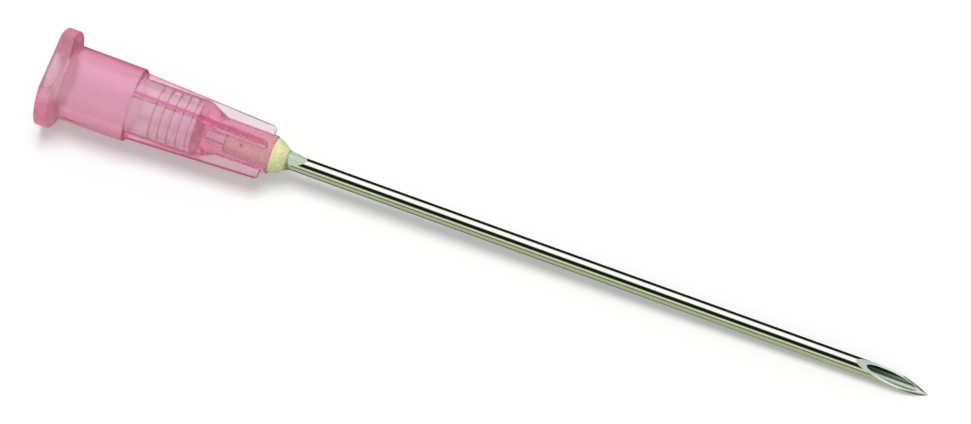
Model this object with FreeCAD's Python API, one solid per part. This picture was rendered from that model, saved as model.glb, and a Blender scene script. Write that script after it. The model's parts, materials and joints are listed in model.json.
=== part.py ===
import FreeCAD, Part
import math
import os

from FreeCAD import Rotation, Vector

# Hypodermic needle, 1.2 mm (18 gauge) by 50 mm, with a see-through hub for a locking syringe.
# Each piece is made along +X, from the centre of the socket mouth to the point. At the end all
# are tipped together about the mouth, so that they lie as the needle lies on a table: on the
# lower flat of the hub's flange and on the steel point. Millimetres, +Z up.

# Steel tube and its ground point
tube_diameter = 1.27
tube_bore = 0.90
needle_reach = 51.00    # from the front of the adhesive bead to the point
bevel_length = 5.90     # main grind, heel to point
lancet_length = 2.25    # the two side grinds that sharpen the point
lancet_turn = 32.0      # degrees that the tube is turned each way for a side grind
bevel_roll = 10.0       # degrees from straight up that the bevel faces, towards +Y

# Tapered socket for the syringe, and the way from it to the tube
socket_mouth = 4.28     # diameter
socket_taper = 0.06     # diameter lost for each millimetre of depth
socket_depth = 11.90
mouth_round = 0.12
floor_depth = 0.40      # funnel at the bottom of the socket
floor_round = 0.30
throat_length = 0.35    # from the funnel to the ledge that stops the tube
grip_length = 1.65      # close bore that centres the tube
glue_gap = 0.165        # between tube and glue well
well_depth = 3.75       # glue well, open at the front face
well_draft = 0.02       # radius gained for each millimetre towards the front
well_chamfer = 0.12

# Raised rings in the socket, past the depth that a syringe's tip reaches
ring_count = 5
ring_pitch = 0.735
ring_setback = 0.36     # from the bottom of the socket to the last ring
ring_height = 0.05
ring_width = 0.22

# Outside of the hub
barrel_length = 6.80
barrel_wall = 0.81      # at the socket mouth
barrel_draft = 0.0088   # radius lost for each millimetre
barrel_round = 0.10
body_wall = 0.334       # where the barrel steps down to the body
shoulder_setback = 0.34  # from the bottom of the socket to the shoulder's corner
shoulder_length = 1.60
shoulder_round = 1.90
neck_wall = 0.63        # round the glue well, at its front
neck_draft = 0.012      # radius lost for each millimetre towards the front
inner_corner_round = 0.08
face_round = 0.08
largest_flat = 0.15     # smaller roundings are cut as flats

# Flange with two lugs at +Y and -Y
lug_height = 0.95       # from the barrel's surface
flat_lip = 0.17         # from the barrel's surface to the flats between the lugs
rim_thickness = 1.00    # at the lugs' outer edge
root_thickness = 1.36   # at the barrel
rim_round = 0.10

# Four fins along the body and neck
fin_count = 4
fin_thickness = 0.45
fin_step = 0.09         # fin tops below the barrel's front edge
fin_front_height = 0.75  # above the neck
fin_setback = 0.48      # from the front face
fin_root = 0.30         # length hidden in the barrel
fin_front_round = 0.32
fin_edge_round = 0.16

# Cured adhesive: filling of the well, bead on the front face, tongue along the tube
bead_length = 1.55
bead_margin = 0.02      # hub face left bare round the bead
bead_waist_reach = 0.92  # from the front face to where the bead turns concave
bead_waist_height = 0.345  # above the tube
bead_bulge = 0.075      # rise of the convex part above its chord
bead_hollow = 0.045     # sink of the concave part below its chord
tongue_reach = 2.68     # from the front face
tongue_film = 0.17      # thickness over the tube
tongue_rear_setback = 0.85  # from the front face to the tongue's thickest place
tongue_roll = 25.0      # degrees from straight up, towards +Y

# Worked out from the sizes above
tube_radius = tube_diameter / 2
bore_radius = tube_bore / 2
mouth_radius = socket_mouth / 2
tube_seat = socket_depth + floor_depth + throat_length
well_rear = tube_seat + grip_length
front_face = well_rear + well_depth
point_at = front_face + bead_length + needle_reach
well_rear_radius = tube_radius + glue_gap
well_front_radius = well_rear_radius + well_draft * well_depth
neck_front_radius = well_front_radius + neck_wall
barrel_rear_radius = mouth_radius + barrel_wall
barrel_front_radius = barrel_rear_radius - barrel_draft * barrel_length
shoulder_at = socket_depth + shoulder_setback
neck_at = shoulder_at + shoulder_length
neck_rear_radius = neck_front_radius + neck_draft * (front_face - neck_at)
lug_radius = barrel_rear_radius + lug_height
flat_half = barrel_rear_radius + flat_lip
rest_tilt = math.degrees(math.atan2(flat_half - tube_radius, point_at - rim_thickness))

ALONG = Vector(1, 0, 0)
CENTRE = Vector(0, 0, 0)


def socket_radius(depth):
    """Radius of the tapered socket at a depth from its mouth."""
    return mouth_radius - depth * socket_taper / 2


body_radius = socket_radius(barrel_length) + body_wall


def rounded_face(corners):
    """Face through (x, radius, rounding) corners, in the plane of X and Z.

    A rounding is a tangent arc, or a flat between the same two points where it is small.
    """
    stretches = []
    for index, (x, radius, rounding) in enumerate(corners):
        corner = Vector(x, 0, radius)
        before = corners[index - 1]
        after = corners[(index + 1) % len(corners)]
        back = (Vector(before[0], 0, before[1]) - corner).normalize()
        onward = (Vector(after[0], 0, after[1]) - corner).normalize()
        half = back.getAngle(onward) / 2
        cut = rounding / math.tan(half)
        start = corner + back * cut
        stop = corner + onward * cut
        if rounding > largest_flat:
            towards = (back + onward).normalize()
            crest = corner + towards * (rounding / math.sin(half) - rounding)
            stretches.append((start, Part.Arc(start, crest, stop).toShape(), stop))
        elif rounding:
            stretches.append((start, Part.LineSegment(start, stop).toShape(), stop))
        else:
            stretches.append((corner, None, corner))
    edges = []
    for index, (start, corner_edge, stop) in enumerate(stretches):
        if corner_edge:
            edges.append(corner_edge)
        following = stretches[(index + 1) % len(stretches)][0]
        edges.append(Part.LineSegment(stop, following).toShape())
    return Part.Face(Part.Wire(edges))


def bulged_arc(start, stop, bulge):
    """Arc between two (x, radius) points that rises by bulge, or sinks if it is negative."""
    first = Vector(start[0], 0, start[1])
    last = Vector(stop[0], 0, stop[1])
    chord = (last - first).normalize()
    outward = Vector(-chord.z, 0, chord.x)
    return Part.Arc(first, (first + last) * 0.5 + outward * bulge, last).toShape()


def straight(start, stop):
    """Straight edge between two (x, radius) points."""
    return Part.LineSegment(Vector(start[0], 0, start[1]), Vector(stop[0], 0, stop[1])).toShape()


def turned(face):
    """Solid of revolution about the needle's axis."""
    return face.revolve(CENTRE, ALONG, 360)


def rolled(direction, degrees):
    """A direction turned about the needle's axis; positive turns +Z towards +Y."""
    return Rotation(ALONG, -degrees).multVec(direction)


def make_tube():
    """Stainless tube with a main grind and two side grinds that meet in the point."""
    length = point_at - tube_seat
    start = Vector(tube_seat, 0, 0)
    tube = Part.makeCylinder(tube_radius, length, start, ALONG)
    tube = tube.cut(Part.makeCylinder(bore_radius, length, start, ALONG))

    up = rolled(Vector(0, 0, 1), bevel_roll)
    point = ALONG * point_at - up * tube_radius
    main_slope = math.atan2(tube_diameter, bevel_length)
    meeting = math.acos(1 - 2 * lancet_length / bevel_length)
    turn = math.radians(lancet_turn)
    side_rise = tube_radius * (math.cos(turn) - math.cos(meeting + turn))
    side_slope = math.atan2(side_rise, lancet_length)
    grinds = [(0.0, main_slope), (lancet_turn, side_slope), (-lancet_turn, side_slope)]
    for roll, slope in grinds:
        facing = ALONG * math.sin(slope) + rolled(up, roll) * math.cos(slope)
        tube = tube.cut(wheel_block(point, facing))
    return tube


def wheel_block(point, facing):
    """Block of what a grinding wheel takes off: its lower face holds point and faces along facing."""
    size = 3 * bevel_length
    block = Part.makeBox(size, size, size, Vector(-size / 2, -size / 2, 0))
    block.Placement = FreeCAD.Placement(point, Rotation(Vector(0, 0, 1), facing))
    return block


def ring_corners():
    """Corners of the raised rings, from the deepest back towards the mouth."""
    corners = []
    for index in range(ring_count):
        middle = socket_depth - ring_setback - index * ring_pitch
        deep = middle + ring_width / 2
        shallow = middle - ring_width / 2
        corners.append((deep, socket_radius(deep), 0))
        corners.append((middle, socket_radius(middle) - ring_height, ring_height))
        corners.append((shallow, socket_radius(shallow), 0))
    return corners


def make_shell():
    """The hub's round parts: barrel, body, shoulder and neck outside, socket to well inside."""
    outside = [
        (0, barrel_rear_radius, face_round),
        (barrel_length, barrel_front_radius, barrel_round),
        (barrel_length, body_radius, inner_corner_round),
        (shoulder_at, body_radius, shoulder_round),
        (neck_at, neck_rear_radius, inner_corner_round),
        (front_face, neck_front_radius, face_round),
    ]
    inside = [
        (front_face, well_front_radius + well_chamfer, 0),
        (front_face - well_chamfer, well_front_radius, 0),
        (well_rear, well_rear_radius, 0),
        (well_rear, tube_radius, 0),
        (tube_seat, tube_radius, 0),
        (tube_seat, bore_radius, 0),
        (tube_seat - throat_length, bore_radius, 0),
        (socket_depth, socket_radius(socket_depth), floor_round),
    ]
    mouth = [(0, mouth_radius, mouth_round)]
    return turned(rounded_face(outside + inside + ring_corners() + mouth))


def make_flange():
    """Flange with a sloped front, cut by two flats so that a lug is left at +Y and at -Y."""
    buried = mouth_radius + barrel_wall / 2
    disc = turned(rounded_face([
        (0, buried, 0),
        (0, lug_radius, rim_round),
        (rim_thickness, lug_radius, rim_round),
        (root_thickness, barrel_rear_radius, 0),
        (root_thickness, buried, 0),
    ]))
    width = 2 * lug_radius
    corner = Vector(0, -lug_radius, -flat_half)
    return disc.common(Part.makeBox(root_thickness, width, 2 * flat_half, corner))


def make_fin():
    """One fin, standing up along +Z, with rounded top edges and front corner."""
    buried = body_wall / 2
    front = front_face - fin_setback
    face = rounded_face([
        (barrel_length - fin_root, body_radius - buried, 0),
        (barrel_length - fin_root, barrel_front_radius - fin_step, 0),
        (front, neck_front_radius + fin_front_height, fin_front_round),
        (front, neck_front_radius - buried, 0),
        (neck_at, neck_front_radius - buried, 0),
        (shoulder_at, body_radius - buried, 0),
    ])
    fin = face.extrude(Vector(0, fin_thickness, 0))
    fin.translate(Vector(0, -fin_thickness / 2, 0))
    return fin.makeFillet(fin_edge_round, [edge for edge in fin.Edges if is_top_edge(edge)])


def is_top_edge(edge):
    """True for the edges of a fin's sides that run along its top and down its front."""
    box = edge.BoundBox
    on_one_side = box.YLength < fin_thickness / 2
    on_top = box.ZMin > neck_front_radius and box.XMin > barrel_length - fin_root / 2
    long_top = box.XLength > front_face - barrel_length - fin_setback - fin_front_round
    return on_one_side and box.ZMax > body_radius and (on_top or long_top)


def make_hub():
    """One moulding: shell, flange and fins."""
    hub = make_shell().fuse(make_flange())
    for index in range(fin_count):
        fin = make_fin()
        fin.rotate(CENTRE, ALONG, index * 360 / fin_count)
        hub = hub.fuse(fin)
    return hub.removeSplitter()


def make_adhesive():
    """One cured mass: well filling, bead on the front face and tongue over the tube."""
    bead_radius = neck_front_radius - face_round - bead_margin
    chamfer_radius = well_front_radius + well_chamfer
    waist = (front_face + bead_waist_reach, tube_radius + bead_waist_height)
    tip = (front_face + bead_length, tube_radius)
    rim = (front_face, bead_radius)
    mouth = (front_face, chamfer_radius)
    lip = (front_face - well_chamfer, well_front_radius)
    bottom = (well_rear, well_rear_radius)
    seat = (well_rear, tube_radius)
    edges = [
        straight(seat, bottom),
        straight(bottom, lip),
        straight(lip, mouth),
        straight(mouth, rim),
        bulged_arc(rim, waist, bead_bulge),
        bulged_arc(waist, tip, -bead_hollow),
        straight(tip, seat),
    ]
    mass = turned(Part.Face(Part.Wire(edges))).fuse(make_tongue())
    bore = Part.makeCylinder(tube_radius, point_at, CENTRE, ALONG)
    return mass.cut(bore).removeSplitter()


def make_tongue():
    """Front part of a long egg beside the axis, which leaves a film on one side of the tube."""
    thickest = front_face + tongue_rear_setback
    beyond = tongue_reach - tongue_rear_setback
    # Where the film ends, the egg's radius is down to the tube's less the film
    narrowing = math.sqrt(1 - ((tube_radius - tongue_film) / tube_radius) ** 2)
    egg_length = beyond / narrowing
    ellipse = Part.Ellipse(Vector(thickest, 0, 0), egg_length, tube_radius)
    start = math.acos(-tongue_rear_setback / egg_length)
    arc = Part.ArcOfEllipse(ellipse, 0, start).toShape()
    nose = Vector(thickest + egg_length, 0, 0)
    rear = Vector(front_face, 0, 0)
    rear_edge = Vector(front_face, tube_radius * math.sin(start), 0)
    rear_line = Part.LineSegment(rear_edge, rear).toShape()
    axis_line = Part.LineSegment(rear, nose).toShape()
    egg = turned(Part.Face(Part.Wire([arc, rear_line, axis_line])))
    egg.translate(rolled(Vector(0, 0, tongue_film), tongue_roll))
    return egg


def write(name, solid):
    """Tips a piece into its resting pose and writes it."""
    solid.rotate(CENTRE, Vector(0, 1, 0), rest_tilt)
    print(name, solid.ShapeType, len(solid.Solids), solid.isValid(), round(solid.Volume, 4))
    solid.exportStep(f"parts/{name}.step")


os.makedirs("parts", exist_ok=True)
print("rest tilt", round(rest_tilt, 4), "front face", round(front_face, 3), "point", round(point_at, 3))
write("hub", make_hub())
write("cannula", make_tube())
write("adhesive", make_adhesive())
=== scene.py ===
"""Hypodermic needle with a see-through pink hub, lying on a pale floor."""
import json
import logging
import math
from dataclasses import dataclass
from enum import Enum
from typing import Iterable, Optional, Sequence, Union

import bmesh
import bpy
from mathutils import Matrix, Vector, noise


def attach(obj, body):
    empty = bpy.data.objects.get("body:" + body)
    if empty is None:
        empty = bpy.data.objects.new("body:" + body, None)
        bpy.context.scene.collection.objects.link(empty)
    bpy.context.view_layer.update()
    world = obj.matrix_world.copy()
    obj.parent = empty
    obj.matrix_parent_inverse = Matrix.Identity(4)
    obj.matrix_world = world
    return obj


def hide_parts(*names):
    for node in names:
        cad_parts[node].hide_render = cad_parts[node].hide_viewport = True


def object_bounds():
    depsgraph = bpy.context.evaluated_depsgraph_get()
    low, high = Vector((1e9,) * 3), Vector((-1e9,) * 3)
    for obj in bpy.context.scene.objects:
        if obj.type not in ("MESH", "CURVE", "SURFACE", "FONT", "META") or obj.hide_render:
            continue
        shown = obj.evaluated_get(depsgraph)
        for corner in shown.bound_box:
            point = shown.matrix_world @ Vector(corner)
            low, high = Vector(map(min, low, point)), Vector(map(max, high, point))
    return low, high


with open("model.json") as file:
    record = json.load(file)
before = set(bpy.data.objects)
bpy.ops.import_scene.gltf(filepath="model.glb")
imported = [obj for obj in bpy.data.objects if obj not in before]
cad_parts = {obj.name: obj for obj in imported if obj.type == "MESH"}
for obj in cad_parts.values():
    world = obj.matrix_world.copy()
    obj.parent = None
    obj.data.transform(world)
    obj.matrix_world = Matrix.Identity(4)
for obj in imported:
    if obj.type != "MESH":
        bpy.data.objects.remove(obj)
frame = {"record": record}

log = logging.getLogger("needle")

CAD_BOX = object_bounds()
BODY = "root"
SHAFT_MOUNT = "needle_shaft"
MM = 0.001
CLOSE = 0.003          # millimetres left between bonded skins
MERGE = 1e-5           # millimetres within which points are one
SHARP = math.radians(40)

Colour = tuple[float, float, float]
Point = tuple[float, float]
Ring = list[Vector]

WHITE: Colour = (1.0, 1.0, 1.0)
BLACK: Colour = (0.0, 0.0, 0.0)


# How the needle lies


@dataclass(frozen=True)
class Lie:
    """Turn from the needle's own axis, which runs along +X, to the way it lies.

    Attributes:
        dip: Angle in radians by which the axis runs down towards the point.
    """

    dip: float

    @classmethod
    def from_record(cls, record: dict) -> "Lie":
        """Reads the dip from the shaft mount's axis.

        Args:
            record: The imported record.

        Returns:
            The lie of the needle.
        """
        mount = next(m for m in record["mounts"] if m["name"] == SHAFT_MOUNT)
        along = mount["axis"]
        return cls(math.atan2(-along[2], along[0]))

    def matrix(self) -> Matrix:
        """Gives the turn and scale from own millimetres to the frame's metres."""
        return Matrix.Rotation(self.dip, 4, "Y") @ Matrix.Scale(MM, 4)

    def place(self, x: float) -> Vector:
        """Gives the place in the frame of a point of the axis."""
        return self.matrix() @ Vector((x, 0.0, 0.0))


# Outlines and skins


@dataclass(frozen=True)
class Corner:
    """Corner of a turned outline.

    Attributes:
        x: Distance from the socket mouth, in millimetres.
        radius: Distance from the axis, in millimetres.
        rounding: Radius of the tangent arc at the corner, 0 for a sharp one.
        steps: Number of straight pieces in the arc.
    """

    x: float
    radius: float
    rounding: float = 0.0
    steps: int = 4

    def at(self) -> Vector:
        """Gives the corner as a point of the outline's plane."""
        return Vector((self.x, self.radius))

    def rounded(self, before: Vector, after: Vector) -> list[Point]:
        """Gives the arc that rounds the corner.

        Args:
            before: A point on the line that arrives.
            after: A point on the line that leaves.

        Returns:
            The arc's points, or the corner itself if it is sharp.
        """
        if not self.rounding:
            return [(self.x, self.radius)]
        back = (before - self.at()).normalized()
        onward = (after - self.at()).normalized()
        half = back.angle(onward) / 2
        middle = self.at() + (back + onward).normalized() * (self.rounding / math.sin(half))
        reach = self.rounding / math.tan(half)
        first = self.at() + back * reach - middle
        last = self.at() + onward * reach - middle
        spokes = [slerp(first, last, step / self.steps) for step in range(self.steps + 1)]
        return [tuple(middle + spoke) for spoke in spokes]


def slerp(first: Vector, last: Vector, share: float) -> Vector:
    """Turns one spoke of an arc towards another by a share of the angle between them."""
    whole = first.angle(last)
    return (first * math.sin((1 - share) * whole) + last * math.sin(share * whole)) / math.sin(whole)


def rounded_outline(corners: Sequence[Corner]) -> list[Point]:
    """Follows corners and rounds all but the first and the last one.

    Args:
        corners: The corners in order.

    Returns:
        Points (x, radius), as many as the corners' steps ask for.
    """
    points = [tuple(corners[0].at())]
    for before, here, after in zip(corners, corners[1:], corners[2:]):
        points += here.rounded(before.at(), after.at())
    return points + [tuple(corners[-1].at())]


def with_stations(points: Sequence[Point], stations: Iterable[float]) -> list[Point]:
    """Adds points on the stretches of an outline that run forwards.

    Args:
        points: The outline.
        stations: The x places to add.

    Returns:
        The outline with the added points in order.
    """
    made = list(points)
    for x in stations:
        for index in range(len(made) - 1):
            (x0, r0), (x1, r1) = made[index], made[index + 1]
            if x0 < x < x1:
                made.insert(index + 1, (x, r0 + (r1 - r0) * (x - x0) / (x1 - x0)))
                break
    return made


def spread(start: float, stop: float, count: int) -> list[float]:
    """Gives count even steps from start to stop, both among them."""
    return [start + (stop - start) * k / (count - 1) for k in range(count)]


def hump(share: float) -> float:
    """Gives a rise that is 0 at both ends of a stretch and 1 in its middle."""
    return 4 * share * (1 - share)


def turned(outline: Sequence[Point], angle: float) -> list[Vector]:
    """Turns an outline to an angle round the axis, counted from +Y."""
    return [Vector((x, radius * math.cos(angle), radius * math.sin(angle))) for x, radius in outline]


def skin(rings: Sequence[Ring]) -> bmesh.types.BMesh:
    """Closes a skin through rings of equal length; the last ring joins the first.

    Args:
        rings: The rings in order, in own millimetres.

    Returns:
        The skin, with equal points merged.
    """
    bm = bmesh.new()
    rows = [[bm.verts.new(point) for point in ring] for ring in rings]
    count = len(rows[0])
    for index, row in enumerate(rows):
        following = rows[(index + 1) % len(rows)]
        for k in range(count):
            after = (k + 1) % count
            bm.faces.new((row[k], row[after], following[after], following[k]))
    bmesh.ops.remove_doubles(bm, verts=bm.verts, dist=MERGE)
    bmesh.ops.dissolve_degenerate(bm, dist=MERGE / 10, edges=bm.edges)
    return bm


def linked(name: str, data: bpy.types.ID) -> bpy.types.Object:
    """Makes an object of some data and links it to the scene.

    Args:
        name: Name of the object.
        data: Its mesh, camera or lamp.

    Returns:
        The linked object.
    """
    made = bpy.data.objects.new(name, data)
    bpy.context.scene.collection.objects.link(made)
    return made


def finished(
    bm: bmesh.types.BMesh, name: str, lie: Lie, *materials: bpy.types.Material
) -> bpy.types.Object:
    """Turns a closed skin in own millimetres into an object that lies in the frame.

    Args:
        bm: The skin, which is freed.
        name: Name of the piece.
        lie: How the needle lies.
        materials: Its finishes, in the order of the faces' material numbers.

    Returns:
        The linked object, with smooth faces that meet in an edge where they turn hard or where
        the finish changes.
    """
    bmesh.ops.recalc_face_normals(bm, faces=bm.faces)
    bm.transform(lie.matrix())
    for face in bm.faces:
        face.smooth = True
    for edge in bm.edges:
        finishes = {face.material_index for face in edge.link_faces}
        edge.smooth = edge.calc_face_angle(math.pi) < SHARP and len(finishes) == 1
    mesh = bpy.data.meshes.new(name)
    bm.to_mesh(mesh)
    bm.free()
    piece = linked(name, mesh)
    lean = piece.modifiers.new("lean", "WEIGHTED_NORMAL")
    lean.keep_sharp = True
    make_plain(piece)
    for material in materials:
        piece.data.materials.append(material)
    return piece


def make_plain(piece: bpy.types.Object) -> None:
    """Turns what a piece's modifiers make into its own mesh.

    Args:
        piece: The piece, which loses its modifiers.
    """
    evaluated = piece.evaluated_get(bpy.context.evaluated_depsgraph_get())
    made = bpy.data.meshes.new_from_object(evaluated)
    old = piece.data
    piece.modifiers.clear()
    piece.data = made
    made.name = piece.name
    bpy.data.meshes.remove(old)


def count_open(piece: bpy.types.Object) -> int:
    """Counts the edges of a piece that don't join two faces.

    Args:
        piece: The piece.

    Returns:
        Their number.
    """
    bm = bmesh.new()
    bm.from_mesh(piece.data)
    found = sum(1 for edge in bm.edges if len(edge.link_faces) != 2)
    bm.free()
    return found


# Shader trees


class Flow:
    """One output of a shader tree, with the arithmetic that the finishes use."""

    def __init__(self, sheet: "Sheet", socket: bpy.types.NodeSocket) -> None:
        """Keeps the tree's sheet and the output."""
        self.sheet = sheet
        self.socket = socket

    def __add__(self, other: "Value") -> "Flow":
        """Adds a value."""
        return self.sheet.math("ADD", self, other)

    __radd__ = __add__

    def __sub__(self, other: "Value") -> "Flow":
        """Takes a value away."""
        return self.sheet.math("SUBTRACT", self, other)

    def __rsub__(self, other: float) -> "Flow":
        """Takes this from a number."""
        return self.sheet.math("SUBTRACT", other, self)

    def __mul__(self, other: "Value") -> "Flow":
        """Multiplies by a value."""
        return self.sheet.math("MULTIPLY", self, other)

    __rmul__ = __mul__

    def __gt__(self, other: "Value") -> "Flow":
        """Gives 1 where this is larger, otherwise 0."""
        return self.sheet.math("GREATER_THAN", self, other)

    def __lt__(self, other: "Value") -> "Flow":
        """Gives 1 where this is smaller, otherwise 0."""
        return self.sheet.math("LESS_THAN", self, other)

    def either(self, other: "Flow") -> "Flow":
        """Gives the larger of two masks."""
        return self.sheet.math("MAXIMUM", self, other)

    def between(self, low: float, high: float) -> "Flow":
        """Gives 0 at low, 1 at high, and a soft rise between them."""
        values = {"Value": self, "From Min": low, "From Max": high}
        return self.sheet.node("ShaderNodeMapRange", {"interpolation_type": "SMOOTHSTEP"}, values)

    def step(self, place: float, stretch: Point) -> "Flow":
        """Gives a soft rise over a stretch that is counted from a place."""
        return self.between(place + stretch[0], place + stretch[1])

    def uneven(self, reach: float) -> "Flow":
        """Turns noise from 0 to 1 into a factor about 1, which varies by reach in all."""
        return (1 - reach / 2) + reach * self


Value = Union[Flow, float]


class Sheet:
    """A shader tree while it is being written."""

    def __init__(self, tree: bpy.types.NodeTree) -> None:
        """Empties the tree."""
        self.tree = tree
        tree.nodes.clear()

    def node(self, kind: str, settings: dict, values: dict, output: Union[str, int] = 0) -> Flow:
        """Adds a node.

        Args:
            kind: The node's type.
            settings: Its properties, set first.
            values: Numbers, colours or flows for its sockets, by name or number.
            output: The output to give back.

        Returns:
            That output.
        """
        made = self.tree.nodes.new(kind)
        for name, setting in settings.items():
            setattr(made, name, setting)
        for name, value in values.items():
            if isinstance(value, Flow):
                self.tree.links.new(value.socket, made.inputs[name])
            else:
                made.inputs[name].default_value = value
        return Flow(self, made.outputs[output])

    def math(self, operation: str, one: Value, other: Value = 0.0) -> Flow:
        """Adds a Math node on one or two values."""
        return self.node("ShaderNodeMath", {"operation": operation}, {0: one, 1: other})

    def mix(self, share: Value, one: Union[Flow, Colour], other: Union[Flow, Colour]) -> Flow:
        """Mixes two colours by a share of the other; inputs 6 and 7 and output 2 are colours."""
        values = {0: share, 6: with_alpha(one), 7: with_alpha(other)}
        return self.node("ShaderNodeMix", {"data_type": "RGBA"}, values, 2)

    def blend(self, share: Value, one: Flow, other: Flow) -> Flow:
        """Mixes two shaders by a share of the other."""
        return self.node("ShaderNodeMixShader", {}, {0: share, 1: one, 2: other})

    def own_place(self, lie: Lie) -> Flow:
        """Gives each point's place in own millimetres, with the needle along X.

        Args:
            lie: How the needle lies.

        Returns:
            The place.
        """
        place = self.node("ShaderNodeTexCoord", {}, {}, "Object")
        values = {"Vector": place, "Rotation": (0.0, -lie.dip, 0.0), "Scale": (1 / MM,) * 3}
        return self.node("ShaderNodeMapping", {}, values)

    def parts(self, place: Flow) -> tuple[Flow, Flow, Flow]:
        """Takes a place apart into its X, Y and Z.

        Args:
            place: The place.

        Returns:
            The three parts.
        """
        first = self.node("ShaderNodeSeparateXYZ", {}, {0: place})
        outputs = first.socket.node.outputs
        return first, Flow(self, outputs[1]), Flow(self, outputs[2])

    def off_axis(self, across: Flow, up: Flow) -> Flow:
        """Gives the distance from the needle's axis."""
        return self.math("SQRT", across * across + up * up)

    def scaled(self, place: Flow, scale: Colour) -> Flow:
        """Stretches a pattern that reads the place."""
        return self.node("ShaderNodeMapping", {}, {"Vector": place, "Scale": scale})

    def noise(self, place: Flow, size: float, detail: float = 2.0) -> Flow:
        """Gives noise of about a size in millimetres."""
        values = {"Vector": place, "Scale": 1 / size, "Detail": detail}
        return self.node("ShaderNodeTexNoise", {}, values)

    def relief(self, height: Flow, depth: float) -> Flow:
        """Gives the normal of a relief of a depth in millimetres."""
        return self.node("ShaderNodeBump", {}, {"Height": height, "Distance": depth * MM})

    def ray(self, kind: str) -> Flow:
        """Gives 1 for rays of a kind."""
        return self.node("ShaderNodeLightPath", {}, {}, f"Is {kind} Ray")

    def light(self, kind: str, colour: Union[Flow, Colour], strength: Value) -> Flow:
        """Gives an Emission or a Background of a colour and strength."""
        return self.node(f"ShaderNode{kind}", {}, {"Color": with_alpha(colour), "Strength": strength})

    def close(self, output: str, **flows: Flow) -> None:
        """Joins flows to the tree's output node.

        Args:
            output: Type of the output node.
            flows: The flows, by its sockets' names.
        """
        made = self.tree.nodes.new(output)
        for name, flow in flows.items():
            self.tree.links.new(flow.socket, made.inputs[name])


def with_alpha(colour: Union[Flow, Colour]) -> Union[Flow, tuple]:
    """Adds full cover to a plain colour."""
    return colour if isinstance(colour, Flow) else (*colour, 1.0)


def dimmed(colour: Colour, share: float) -> Colour:
    """Gives a share of a colour."""
    return tuple(share * part for part in colour)


def new_sheet(name: str) -> tuple[bpy.types.Material, Sheet]:
    """Makes a material with an empty tree.

    Args:
        name: Name of the material.

    Returns:
        The material and its tree.
    """
    material = bpy.data.materials.new(name)
    material.use_nodes = True
    return material, Sheet(material.node_tree)


# Finishes


@dataclass(frozen=True)
class Spot:
    """The place whose colour a shader works out, in the needle's own millimetres.

    Attributes:
        sheet: The shader's tree.
        place: The place itself.
        along: Place along the needle from the socket's mouth.
        across: Place across it, below 0 on the near side.
        side: Distance from the middle plane that stands on the floor.
        radius: Distance from the axis.
        cloud: Soft noise from 0 to 1.
    """

    sheet: Sheet
    place: Flow
    along: Flow
    across: Flow
    side: Flow
    radius: Flow
    cloud: Flow


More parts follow.
